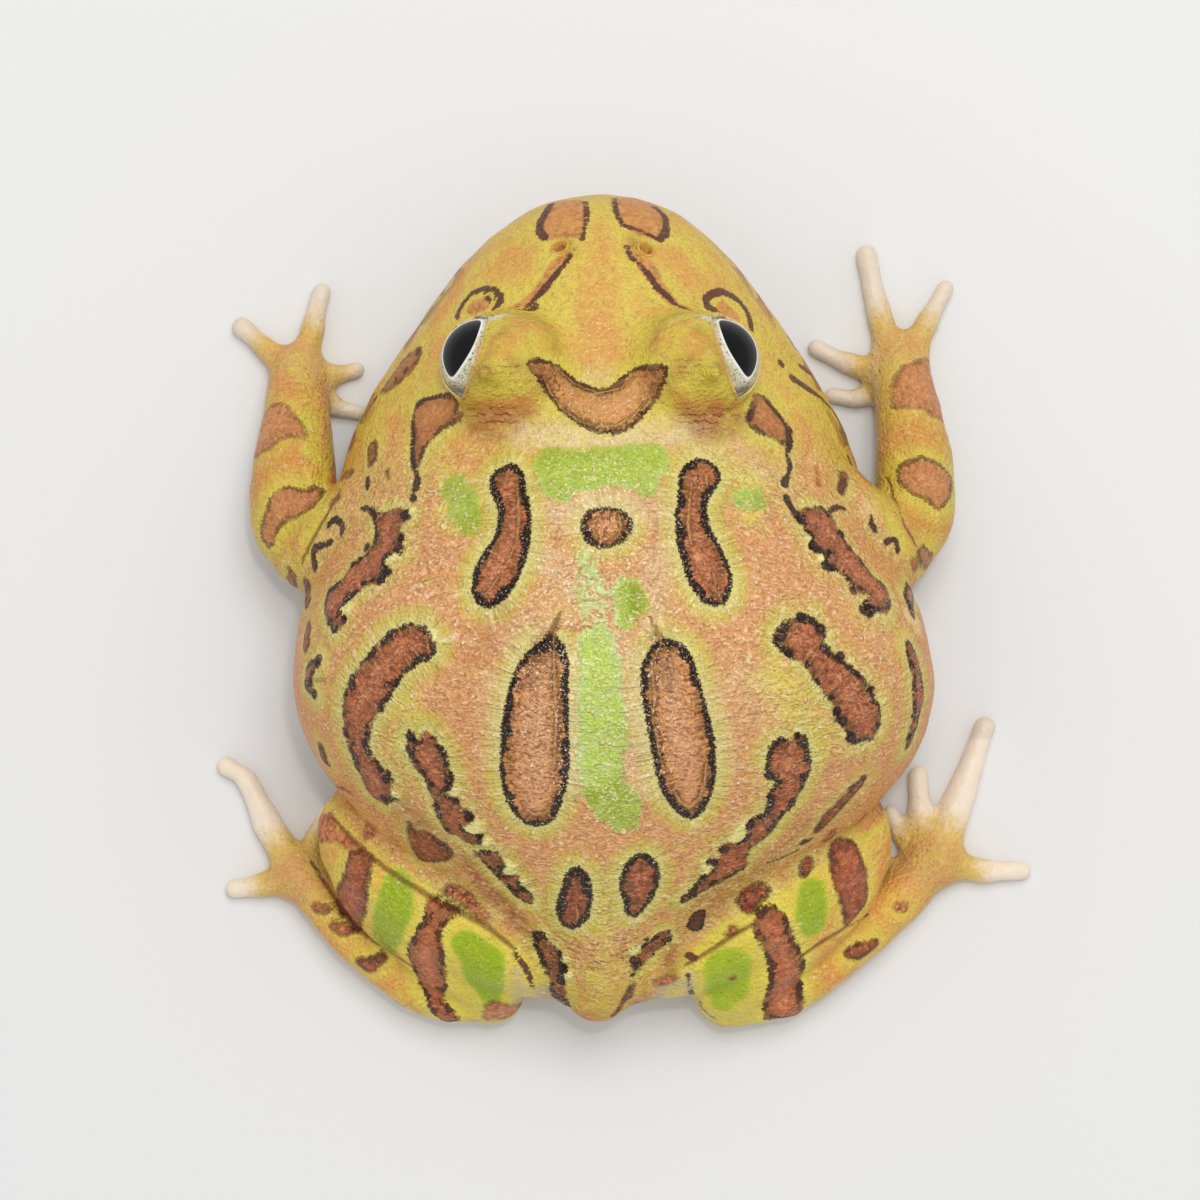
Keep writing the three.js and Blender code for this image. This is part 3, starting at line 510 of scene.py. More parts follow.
# Pale raised creases inside the markings, with painted shadow beside them, and fine folds between limbs, darkened
# with painted shade: bands as above
CREASES = [
    [(560, 612, 0.8), (557, 622, 1.4), (555, 636, 1.6), (554, 658, 1.8), (555, 690, 2), (556, 720, 2), (555, 745, 2),
     (553, 770, 1.2)],
    [(651, 618, 0.8), (658, 632, 1.4), (662, 644, 1.8), (657, 652, 2), (652, 664, 2), (653, 682, 2), (655, 700, 2),
     (652, 717, 1.6), (657, 735, 1.8), (659, 752, 2), (663, 768, 1.4)],
    [(706, 762, 1.4), (704, 783, 2), (699, 798, 2), (690, 807, 2), (680, 801, 2), (673, 788, 1.4)],
    [(524, 806, 1.2), (534, 814, 1.8), (546, 812, 1.6), (554, 800, 1.2)],
    [(517, 484, 1.2), (518, 500, 1.8), (519, 520, 2), (517, 542, 1.6), (511, 556, 1)],
    [(500, 576, 1.2), (491, 588, 1.4), (484, 596, 1)],
    [(691, 484, 1.4), (689, 505, 1.8), (688, 525, 2), (691, 545, 1.4)],
    [(698, 470, 1.2), (706, 476, 1.6), (706, 486, 1.2)],
    [(712, 572, 1.2), (716, 582, 1.4), (712, 592, 1)],
    [(543, 376, 1), (551, 394, 1.4), (562, 409, 1.8), (578, 421, 1.8), (598, 427, 1.8), (616, 426, 1.6),
     (634, 416, 1.2), (647, 400, 1)],
    [(560, 372, 1), (574, 384, 1.4), (598, 394, 1.4), (618, 390, 1.2), (634, 378, 1)],
    [(597, 518, 1.4), (592, 528, 1.6), (597, 538, 1.2)],
    [(619, 516, 1.4), (621, 528, 1.6), (615, 540, 1.2)],
    [(576, 905, 1.2), (578, 914, 1.8), (576, 921, 1.2)],
]
FOLDS = [
    [(333, 818, 1), (360, 848, 1.4), (390, 872, 1.4), (430, 897, 1.6), (462, 913, 1.6), (490, 929, 1.4),
     (514, 949, 1)],
    [(313, 862, 1), (326, 882, 1.2), (341, 907, 1.4), (359, 930, 1.4), (380, 946, 1.4), (402, 961, 1.4),
     (420, 972, 1)],
    [(331, 784, 1), (344, 790, 1.6), (352, 796, 1)],
    [(686, 966, 1), (703, 956, 1.2), (728, 940, 1.4), (752, 925, 1)],
    [(800, 958, 1), (822, 943, 1.4), (846, 928, 1.4), (866, 915, 1)],
    [(886, 478, 0.8), (895, 500, 1), (905, 525, 1), (916, 545, 0.8)],
    [(340, 490, 0.8), (326, 515, 1), (312, 540, 1), (302, 562, 0.8)],
    [(508, 312, 0.9), (492, 314, 1), (476, 317, 0.8)],
    [(697, 313, 0.9), (712, 315, 1), (724, 318, 0.8)],
]
# Soft washes of colour: (strength, softness in millimetres, band)
WASHES = {
    "warm": [
        (0.55, 6.0, [(600, 600, 60), (600, 700, 120), (600, 820, 90), (600, 960, 22)]),
        (0.85, 3.0, [(478, 640, 14), (480, 700, 14), (478, 760, 12), (490, 830, 12)]),
        (0.85, 3.0, [(745, 640, 12), (742, 700, 16), (738, 780, 12), (712, 850, 8)]),
        (0.8, 3.0, [(560, 600, 14), (570, 640, 8)]),
        (0.8, 3.0, [(670, 600, 12), (720, 650, 10)]),
        (0.85, 2.4, [(560, 850, 16), (600, 850, 14), (640, 835, 12)]),
        (0.9, 2.4, [(596, 945, 18), (598, 975, 14)]),
        (0.75, 3.0, [(440, 600, 22), (470, 610, 14)]),
        (0.75, 3.0, [(770, 590, 18), (740, 610, 14)]),
        (0.7, 3.0, [(460, 440, 16), (490, 450, 10)]),
        (0.8, 4.0, [(600, 232, 6), (600, 270, 12), (600, 310, 18), (600, 355, 26), (600, 375, 14)]),
        (0.8, 4.0, [(655, 262, 8), (675, 262, 16), (696, 280, 16), (722, 286, 8)]),
        (0.8, 4.0, [(530, 252, 8), (514, 262, 16), (500, 272, 14)]),
        (0.8, 4.0, [(470, 262, 7), (455, 290, 11), (438, 318, 8)]),
        (0.8, 4.0, [(735, 262, 8), (760, 296, 12), (790, 335, 10), (820, 380, 9)]),
        (0.9, 3.0, [(415, 365, 10), (440, 345, 8)]),
        (0.5, 3.4, [(516, 322, 7), (538, 330, 7), (545, 352, 7), (530, 372, 7)]),
        (0.5, 3.4, [(686, 322, 7), (668, 334, 7), (662, 356, 7), (674, 372, 7)]),
        (0.8, 2.4, [(490, 412, 14), (515, 405, 12), (540, 395, 5)]),
        (0.8, 2.4, [(712, 412, 14), (690, 405, 12), (672, 390, 5)]),
        (0.6, 2.4, [(505, 345, 14)]),
        (0.6, 2.4, [(694, 345, 14)]),
        (0.9, 3.0, [(398, 425, 14), (392, 455, 14), (386, 490, 14)]),
        (0.9, 3.0, [(800, 430, 12), (806, 470, 16), (812, 500, 12)]),
        (0.75, 3.0, [(345, 560, 10), (330, 590, 8)]),
        (0.8, 3.0, [(318, 720, 10), (335, 750, 12), (352, 790, 10)]),
        (0.8, 3.0, [(880, 540, 12), (892, 570, 12)]),
        (0.75, 3.0, [(872, 640, 10), (888, 700, 10), (885, 770, 12)]),
        (0.8, 3.0, [(820, 780, 8), (790, 810, 8), (765, 835, 8)]),
        (0.95, 1.8, [(280, 370, 9), (283, 395, 12)]),
        (0.95, 1.8, [(915, 345, 12), (912, 365, 12)]),
        (0.85, 2.4, [(275, 430, 12), (295, 455, 14), (290, 475, 12)]),
        (0.85, 2.4, [(918, 385, 14), (925, 430, 14), (928, 448, 10)]),
        (0.6, 2.4, [(930, 520, 10), (915, 535, 8)]),
        (0.7, 2.4, [(366, 850, 10), (388, 858, 8)]),
        (0.8, 2.4, [(290, 905, 8), (335, 945, 12), (380, 975, 8)]),
        (0.6, 2.0, [(405, 980, 7)]),
        (0.8, 2.4, [(835, 985, 9), (870, 960, 8), (920, 915, 10), (980, 880, 6)]),
        (0.7, 2.4, [(790, 860, 8), (772, 880, 6)]),
        (0.7, 2.4, [(655, 955, 10), (690, 940, 8)]),
        (0.9, 1.8, [(788, 942, 8), (790, 960, 8)]),
    ],
    "yellow": [
        (0.7, 3.0, [(405, 700, 10), (420, 720, 12), (402, 745, 6)]),
        (0.7, 3.0, [(775, 680, 12), (800, 720, 10), (822, 750, 10)]),
        (0.6, 3.0, [(452, 480, 14), (462, 520, 14)]),
        (0.6, 3.0, [(750, 480, 14), (745, 520, 10)]),
        (0.6, 3.0, [(590, 900, 10), (607, 895, 8), (598, 1005, 10)]),
        (0.8, 2.4, [(372, 905, 6), (395, 905, 16), (425, 930, 8), (480, 975, 18), (508, 1000, 8)]),
        (0.8, 2.4, [(730, 985, 22), (812, 910, 18), (780, 905, 6)]),
        (0.7, 2.4, [(320, 860, 6), (335, 875, 6)]),
        (0.7, 2.0, [(308, 420, 5), (312, 450, 6)]),
    ],
    "dew": [
        (1.0, 2.5, [(600, 560, 18), (600, 640, 20), (600, 700, 24), (596, 770, 20)]),
        (0.6, 2.5, [(556, 480, 20), (600, 480, 20), (650, 470, 22)]),
        (0.45, 2.0, [(745, 498, 14), (612, 815, 20)]),
        (0.3, 2.0, [(460, 500, 18)]),
    ],
    "grains": [
        (1.0, 3.0, [(330, 640, 16), (300, 720, 14), (330, 800, 16), (350, 830, 16), (420, 880, 14), (480, 905, 12)]),
        (1.0, 3.0, [(880, 640, 16), (890, 720, 14), (860, 790, 14), (800, 840, 14), (720, 900, 14)]),
        (0.8, 3.0, [(370, 480, 14), (340, 560, 16)]),
        (0.8, 3.0, [(840, 450, 14), (880, 560, 14)]),
        (0.9, 2.0, [(500, 1000, 10), (515, 975, 8)]),
        (0.6, 4.0, [(600, 850, 40), (600, 980, 18)]),
    ],
    # Wettest skin: lower roughness, and more painted glints
    "wet": [
        (0.9, 4.0, [(600, 330, 14), (600, 400, 10), (600, 470, 26), (600, 620, 90), (600, 740, 80)]),
        (0.7, 2.5, [(540, 400, 12), (600, 412, 16), (655, 400, 12)]),
        (0.5, 3.0, [(500, 380, 14), (712, 380, 14)]),
        (0.5, 3.0, [(440, 620, 30), (760, 620, 30)]),
    ],
    "pores": [
        (1.0, 2.0, [(572, 292, 14), (560, 330, 8)]),
        (1.0, 2.0, [(640, 298, 14), (650, 330, 8)]),
        (0.8, 2.0, [(556, 470, 14), (600, 480, 18), (650, 474, 16)]),
        (0.8, 2.0, [(440, 500, 14), (458, 500, 16), (672, 490, 8), (745, 500, 16)]),
    ],
    "wrinkles": [
        (0.3, 4.0, [(540, 500, 8), (548, 540, 10)]),
        (0.3, 4.0, [(660, 500, 8), (652, 540, 10)]),
        (0.3, 4.0, [(570, 580, 14), (640, 580, 14)]),
        (0.9, 1.6, [(560, 938, 4), (580, 950, 14), (600, 956, 18), (620, 950, 14), (642, 938, 4)]),
        (1.0, 1.6, [(474, 412, 6), (490, 416, 9), (510, 416, 8)]),
        (1.0, 1.6, [(690, 414, 8), (708, 418, 9), (728, 414, 6)]),
        (0.7, 1.6, [(486, 368, 5), (500, 366, 5), (514, 370, 5)]),
        (0.7, 1.6, [(684, 366, 5), (698, 366, 5), (712, 370, 5)]),
    ],
    "mauve": [
        (0.8, 1.0, [(690, 975, 3), (688, 992, 3), (696, 1010, 3), (714, 1024, 3), (745, 1030, 4), (780, 1024, 3)]),
        (0.6, 1.0, [(517, 972, 3), (521, 990, 3), (516, 1008, 3), (500, 1020, 3), (470, 1022, 3)]),
        (0.6, 1.2, [(262, 885, 4), (265, 870, 3)]),
        (0.75, 1.6, [(545, 992, 8), (556, 1003, 5)]),
        (0.6, 1.6, [(648, 1000, 6), (668, 988, 7), (684, 984, 5)]),
        (0.6, 1.8, [(340, 440, 6), (343, 420, 5)]),
        (0.5, 1.8, [(858, 430, 6), (862, 450, 6)]),
    ],
    "white": [
        (1.0, 0.5, [(484, 320, 3.5), (493, 318, 3.5), (501, 315, 2.5), (508, 313, 1)]),
        (1.0, 0.5, [(716, 320, 3.5), (708, 318, 3.5), (703, 315, 2.5), (697, 314, 1)]),
    ],
    # Cream skin, with one row of painted sheen: light reflected on the right of the back
    "cream_and_sheen": [
        (1.0, 2.4, [(520, 434, 7), (560, 437, 10), (600, 445, 7), (645, 437, 10), (700, 432, 7)]),
        (0.75, 3.2, [(560, 512, 12), (600, 500, 10), (655, 510, 12)]),
        (0.7, 3.0, [(545, 560, 8), (575, 590, 8), (600, 600, 10)]),
        (0.7, 3.0, [(660, 560, 8), (650, 620, 10)]),
        (0.8, 1.8, [(574, 650, 4), (574, 700, 5), (573, 790, 4)]),
        (0.8, 1.8, [(634, 650, 4), (634, 700, 6), (645, 790, 4)]),
        (0.6, 3.0, [(620, 640, 8), (625, 720, 8), (632, 780, 6)]),
        (0.5, 2.6, [(690, 450, 8), (740, 450, 10), (760, 470, 8)]),
        (0.5, 2.6, [(540, 620, 6), (510, 640, 6)]),
        (0.5, 2.6, [(600, 375, 6), (590, 382, 5)]),
        (0.5, 2.6, [(716, 690, 6), (724, 735, 9), (730, 770, 7)]),
        (0.5, 2.6, [(492, 680, 6), (496, 720, 8), (490, 755, 6)]),
        # Painted sheen
        (0.35, 3.4, [(745, 680, 12), (765, 720, 12)]),
        (0.9, 2.0, [(330, 345, 5), (335, 385, 6), (338, 425, 6), (339, 460, 5)]),
        (0.9, 2.0, [(874, 345, 5), (873, 385, 6), (871, 425, 6), (868, 460, 5)]),
    ],
    # Rusty brown: the skin's own rust tone, and painted shade in the folds between thigh and body, under the rear
    # edges of the brows and between rump and right thigh
    "rust_and_shade": [
        (0.75, 1.4, [(470, 868, 6), (495, 896, 9), (520, 922, 8), (540, 942, 4)]),
        (0.45, 1.6, [(400, 815, 6), (430, 838, 5), (455, 860, 6)]),
        (0.6, 1.6, [(700, 900, 5), (722, 886, 6), (748, 872, 4)]),
        (0.6, 1.6, [(668, 948, 6), (680, 955, 7)]),
        (0.7, 3.0, [(474, 412, 6), (490, 418, 9), (508, 420, 8), (524, 412, 4)]),
        (0.7, 3.0, [(684, 412, 5), (705, 420, 9), (722, 418, 8), (732, 410, 5)]),
        (0.7, 2.2, [(462, 416, 5), (478, 428, 7), (500, 432, 6)]),
        (0.8, 2.2, [(700, 432, 6), (722, 429, 8), (738, 418, 5)]),
        (0.9, 1.6, [(545, 640, 6), (536, 662, 9), (530, 682, 5)]),
        (0.9, 1.6, [(656, 640, 6), (664, 662, 8), (668, 684, 4)]),
        (0.6, 1.4, [(536, 369, 4), (546, 382, 5)]),
        (0.6, 1.4, [(657, 372, 4), (650, 388, 5)]),
        (0.65, 2.8, [(392, 790, 6), (425, 828, 8), (468, 864, 6)]),
        (0.25, 3.4, [(500, 610, 12), (488, 650, 12)]),
        (0.9, 1.6, [(672, 950, 5), (670, 972, 5)]),
        (0.5, 2.8, [(802, 830, 6), (760, 868, 8), (715, 905, 8), (690, 932, 6)]),
        (0.6, 1.2, [(505, 328, 1.5), (492, 345, 1.5), (483, 362, 1.5), (472, 382, 1.5), (462, 398, 2)]),
        (0.6, 1.2, [(699, 328, 1.5), (712, 345, 1.5), (722, 362, 1.5), (733, 380, 1.5), (742, 396, 2)]),
        (0.45, 2.4, [(516, 366, 4), (530, 368, 5), (536, 382, 4), (545, 392, 3)]),
        (0.45, 2.4, [(690, 362, 5), (676, 368, 6), (668, 380, 5), (660, 392, 3)]),
        (0.45, 1.4, [(512, 313, 2), (534, 316, 2), (552, 330, 3), (555, 348, 3)]),
        (0.45, 1.4, [(690, 313, 2), (668, 318, 2), (655, 334, 3), (652, 350, 3)]),
        (0.6, 1.6, [(488, 368, 4), (478, 374, 3)]),
        (0.6, 1.6, [(720, 366, 4), (728, 372, 3)]),
        (0.5, 1.4, [(372, 930, 3), (385, 945, 5), (400, 958, 3)]),
        (0.45, 1.4, [(303, 830, 5), (318, 870, 3), (330, 900, 3)]),
        (0.6, 1.4, [(566, 238, 3), (570, 250, 3)]),
        (0.6, 1.4, [(634, 238, 3), (632, 250, 3)]),
    ],
}
# Dark beads on the rims and pale warts beside them: (x, y, radius)
BEADS = [
    (404, 515, 4.5), (402, 539, 5), (399, 549, 5), (388, 573, 5.5), (380, 580, 4.5), (345, 620, 4), (367, 547, 4.5),
    (353, 565, 4), (331, 590, 3.5), (417, 487, 5), (413, 498, 4), (407, 371, 4.5), (396, 381, 4.5), (419, 353, 4),
    (796, 515, 4.5), (812, 546, 5.5), (818, 551, 5), (824, 566, 5.5), (831, 568, 4.5), (868, 612, 6), (862, 610, 5),
    (841, 534, 4), (849, 549, 4), (861, 562, 4), (848, 580, 4), (853, 590, 4), (784, 484, 5), (786, 498, 4.5),
    (790, 440, 4.5), (789, 430, 4), (781, 363, 5), (795, 380, 4.5), (803, 386, 4), (812, 391, 4),
    (781, 636, 6), (800, 617, 5), (819, 629, 5.5), (789, 653, 5), (840, 657, 6), (836, 711, 5.5), (842, 721, 6),
    (850, 737, 5.5), (872, 689, 4), (857, 674, 4), (457, 800, 4.5), (469, 815, 5.5), (479, 834, 3.5), (412, 738, 4.5),
    (417, 760, 3.5), (424, 773, 3.5), (432, 783, 4), (438, 806, 3.5), (365, 742, 4.5), (348, 735, 4), (387, 779, 4.5),
    (384, 796, 4.5), (358, 762, 3.5), (749, 824, 6), (769, 795, 4), (768, 774, 5), (714, 860, 4), (724, 849, 5),
    (703, 875, 4), (797, 736, 4), (802, 775, 4), (564, 968, 5), (561, 952, 3.5), (566, 1003, 4), (633, 960, 4),
    (633, 973, 3.5), (647, 940, 3.5), (698, 914, 7), (695, 923, 6), (317, 567, 4), (343, 531, 3.5), (875, 530, 4),
    (885, 543, 4), (886, 545, 3), (536, 305, 3.5), (369, 484, 4),
]
WARTS = [
    (453, 790, 4), (473, 826, 7), (468, 827, 5), (484, 841, 4.5), (508, 868, 6), (522, 882, 3.5), (396, 793, 4),
    (741, 832, 6), (735, 838, 5), (742, 826, 4), (715, 862, 4), (710, 870, 6), (706, 866, 4), (565, 957, 4),
    (568, 975, 3.5), (634, 950, 4), (388, 560, 4), (395, 556, 4), (350, 609, 4.5), (344, 612, 4), (413, 512, 3.5),
    (821, 560, 4), (869, 604, 5), (874, 614, 4), (808, 541, 3.5), (434, 640, 3.5), (431, 632, 3),
]

# The left eye's box says where the frog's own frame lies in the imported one
low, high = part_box("eye_left")
SHIFT = (np.array(low) + np.array(high)) / 2 * 1000 - EYE_CENTRE


# Plain numpy tools

def curve_through(rows, at):
    """Hermite spans through (position, value) rows, slopes from the two neighbours, straight past the ends."""
    pos = np.array([r[0] for r in rows], float)
    val = np.array([r[1] for r in rows], float)
    before = np.maximum(np.arange(len(pos)) - 1, 0)
    after = np.minimum(np.arange(len(pos)) + 1, len(pos) - 1)
    slope = (val[after] - val[before]) / (pos[after] - pos[before])
    at = np.asarray(at, float)
    inside = np.clip(at, pos[0], pos[-1])
    i = np.clip(np.searchsorted(pos, inside) - 1, 0, len(pos) - 2)
    span = pos[i + 1] - pos[i]
    t = (inside - pos[i]) / span
    t2, t3 = t * t, t * t * t
    smooth = (
        val[i] * (2 * t3 - 3 * t2 + 1) + slope[i] * span * (t3 - 2 * t2 + t)
        + val[i + 1] * (3 * t2 - 2 * t3) + slope[i + 1] * span * (t3 - t2)
    )
    return smooth + np.where(at < pos[0], slope[0], slope[-1]) * (at - inside)


def squared(rows):
    return [(p, v * v) for p, v in rows]


def soft_min(a, b, k):
    """Smaller of two distances, rounded where they are within k of each other."""
    h = np.clip(0.5 + 0.5 * (b - a) / k, 0, 1)
    return b + (a - b) * h - k * h * (1 - h)


def soft_max(a, b, k):
    return -soft_min(-a, -b, k)


def smooth_step(low_edge, high_edge, v):
    t = np.clip((v - low_edge) / (high_edge - low_edge), 0, 1)
    return t * t * (3 - 2 * t)


def unit(v):
    """The vector at length 1."""
    return v / np.linalg.norm(v)


def fade(low_edge, high_edge, v):
    """Falls smoothly from 1 at the low edge to 0 at the high one."""
    return 1 - smooth_step(low_edge, high_edge, v)


def curve_span(a, b, c, d, t):
    """Catmull-Rom span from b to c, with a before it and d after it, at the shares t of its length."""
    return 0.5 * (2 * b + (c - a) * t + (2 * a - 5 * b + 4 * c - d) * t ** 2 + (3 * b - a - 3 * c + d) * t ** 3)


def along_path(rows, steps):
    """Catmull-Rom curve through the rows, sampled steps times a span: rows of (x, y, z, radius)."""
    p = np.array(rows, float)
    p = np.vstack([2 * p[0] - p[1], p, 2 * p[-1] - p[-2]])
    t = np.arange(steps)[:, None] / steps
    spans = [curve_span(*four, t) for four in zip(p[:-3], p[1:-2], p[2:-1], p[3:])]
    return np.vstack(spans + [p[-2][None]])


def closed_curve(corners, steps=4):
    """Catmull-Rom curve through a ring of corners."""
    t = np.arange(steps)[:, None] / steps
    around = (np.roll(corners, shift, 0) for shift in (1, 0, -1, -2))
    return np.vstack([curve_span(*four, t) for four in zip(*around)])


def to_span(points, a, b):
    """From each point to the straight span from a to b: how far along the span its nearest place is, which is the
    point's projection held between 0 and 1, and the way from that place to the point."""
    ab = b - a
    rel = points - a
    t = np.clip(rel @ ab / max(ab @ ab, 1e-9), 0, 1)
    return t, rel - t[:, None] * ab


def to_cone(points, a, b):
    """Distance to the cone between two spheres (x, y, z, radius): |p - axis| - radius, and the way from the axis."""
    t, off = to_span(points, a[:3], b[:3])
    return np.sqrt((off * off).sum(1)) - (a[3] + t * (b[3] - a[3])), off


def chain_distance(points, chain):
    """Distance to a string of spheres joined by cones: the least of the distances to its cones."""
    best = np.full(len(points), FAR)
    for a, b in zip(chain[:-1], chain[1:]):
        best = np.minimum(best, to_cone(points, a, b)[0])
    return best


def chain_box(chain, margin):
    """Lowest and highest corner of the box round a string of spheres, with a margin."""
    return (chain[:, :3] - chain[:, 3:]).min(0) - margin, (chain[:, :3] + chain[:, 3:]).max(0) + margin


def within(points, low_corner, high_corner):
    """Numbers of the points that lie inside a box."""
    return np.flatnonzero(((points > low_corner) & (points < high_corner)).all(1))


def slopes(field, points, value, step):
    """How fast a field grows along each of the three axes: its change over a small step, divided by the step."""
    ways = []
    for axis in range(3):
        shifted = points.copy()
        shifted[:, axis] += step
        ways.append((field(shifted) - value) / step)
    return ways


def noise(points, scale, seed):
    """Smooth random field of about -1 to 1: random values on a lattice of the given scale, blended between."""
    size = 32
    values = np.random.default_rng(seed).uniform(-1, 1, (size, size, size))
    q = points / scale + 1000.37
    base = np.floor(q).astype(int)
    f = q - base
    fx, fy, fz = (f * f * (3 - 2 * f)).T
    i, j, k = (base % size).T
    i1, j1, k1 = (i + 1) % size, (j + 1) % size, (k + 1) % size

    def row(jj, kk):
        return values[i, jj, kk] * (1 - fx) + values[i1, jj, kk] * fx

    near = row(j, k) * (1 - fy) + row(j1, k) * fy
    far = row(j, k1) * (1 - fy) + row(j1, k1) * fy
    return near * (1 - fz) + far * fz


# The frog's form as one distance field

def body_field(p):
    """Signed measure of the trunk and head: r squared less the section's own radius squared at that angle."""
    x, y, z = p.T
    dx = x - curve_through(MIDLINE_X, y)
    dz = z - curve_through(WIDEST_HEIGHT, y)
    r2 = dx * dx + dz * dz
    r = np.sqrt(r2) + 1e-6
    c, s = np.abs(dx) / r, np.abs(dz) / r
    n = np.where(dz > 0, curve_through(UPPER_ROUNDNESS, np.clip(y, SNOUT_Y, RUMP_Y)), LOWER_ROUNDNESS)
    w2 = curve_through(squared(HALF_WIDTH), y)
    h2 = np.where(dz > 0, curve_through(squared(HEIGHT_ABOVE), y), curve_through(squared(HEIGHT_BELOW), y))
    sign = np.where(w2 > 0, 1.0, -1.0)
    w2 = np.maximum(np.abs(w2), 1e-3)
    h2 = np.maximum(np.abs(h2), 1e-3)
    reach2 = (c ** n / w2 ** (n / 2) + s ** n / h2 ** (n / 2)) ** (-2 / n)
    return r2 - sign * reach2


def body_distance(p):
    """The body's measure divided by its slope, which is a true distance near the skin."""
    value = body_field(p)
    slope2 = sum(way ** 2 for way in slopes(body_field, p, value, 0.05))
    return value / np.sqrt(slope2 + 4.0)


def mirrored(v, side):
    return np.array([side * v[0], v[1], v[2]])


def add_chain(points, distance, chain, k):
    """Join a string of spheres to the whole's distance, softly over k, only at the points that it can reach."""
    near = within(points, *chain_box(chain, k + 1))
    if len(near):
        distance[near] = soft_min(distance[near], chain_distance(points[near], chain), k)


def ellipsoid_distance(p, centre, size):
    """Distance to an ellipsoid, from the length of the point measured in its half axes."""
    q = (p - centre) / size
    length = np.sqrt((q * q).sum(1)) + 1e-9
    slope = np.sqrt(((q / size) ** 2).sum(1)) / length + 1e-9
    return (length - 1) / slope


def lid_planes(side):
    """Unit normals of the planes that hold the upper and the lower lid's edge, both turned towards the pupil, and
    a point of both."""
    front, rear = mirrored(LID_FRONT, side), mirrored(LID_REAR, side)
    normals = []
    for middle in (LID_TOP, LID_LOW):
        normal = unit(np.cross(rear - front, mirrored(middle, side) - front))
        normals.append(normal if normal @ mirrored(EYE_LOOK, side) > 0 else -normal)
    return normals, front


def add_face(points, distance):
    """Brows with their blunt horn, and the lids: a shell round the eye, open between the planes of their edges."""
    for side in (1, -1):
        eye = mirrored(EYE_CENTRE, side)
        near = within(points, eye - FACE_REACH, eye + FACE_REACH)
        p = points[near]
        d = soft_min(distance[near], ellipsoid_distance(p, mirrored(BROW_CENTRE, side), BROW_SIZE), BROW_BLEND)
        horn = np.array([[*mirrored(end[:3], side), end[3]] for end in HORN])
        d = soft_min(d, chain_distance(p, horn), HORN_BLEND)
        from_eye = np.sqrt(((p - eye) ** 2).sum(1))
        (upper, lower), corner = lid_planes(side)
        rel = p - eye - corner
        closed = np.maximum(-rel @ upper, -rel @ lower)
        d = soft_min(d, from_eye - (EYE_RADIUS + LID_THICKNESS), LID_BLEND)
        open_space = np.maximum(closed, from_eye - (EYE_RADIUS + LID_OPENING))
        distance[near] = soft_max(d, -open_space, LID_ROUNDING)


def digit_chain(rows):
    """A digit's middle line: it tapers from a broad root to its tip, with narrower stretches between the knuckles."""
    chain = along_path(rows, 4)
    share = np.arange(len(chain)) / 4 % 1
    chain[:, 3] *= np.linspace(1.16, 0.86, len(chain)) * (1 - 0.1 * np.sin(np.pi * share) ** 2)
    return chain


CHAINS = {name: along_path(rows, 5) for name, rows in LIMBS.items()}
CHAINS |= {name: along_path(rows, 2) for name, rows in PALMS.items()}
CHAINS |= {name: digit_chain(rows) for name, rows in DIGITS.items()}


def frog_distance(points):
    """Signed distance of the whole frog, skin at zero: the body, then every limb, the face and the flat underside."""
    distance = body_distance(points)
    y, z = points[:, 1], points[:, 2]
    jaw = (z < curve_through(WIDEST_HEIGHT, y) - LIP_DROP) & (y < MOUTH_CORNER_Y + 4)
    distance[jaw] += LIP_OVERHANG * smooth_step(MOUTH_CORNER_Y + 4, MOUTH_CORNER_Y - 3, y[jaw])
    for word in ("left", "right"):
        for part in ("upper_arm", "forearm"):
            add_chain(points, distance, CHAINS[f"{part}_{word}"], BLEND[part])
    for word in ("left", "right"):
        legs = np.full(len(points), FAR)
        for part in ("thigh", "shank", "tarsus", "foot"):
            add_chain(points, legs, CHAINS[f"{part}_{word}"], BLEND[part])
        distance = soft_min(distance, legs, BLEND["thigh"])
        add_chain(points, distance, CHAINS[f"hand_{word}"], BLEND["hand"])
    for name in DIGITS:
        add_chain(points, distance, CHAINS[name], BLEND["digit"])
    add_face(points, distance)
    return soft_max(distance, -z, FLOOR_BLEND)


def placed(axes, values):
    """Three arrays put in the order of the axes they belong to."""
    index = [None] * 3
    for axis, value in zip(axes, values):
        index[axis] = value
    return index


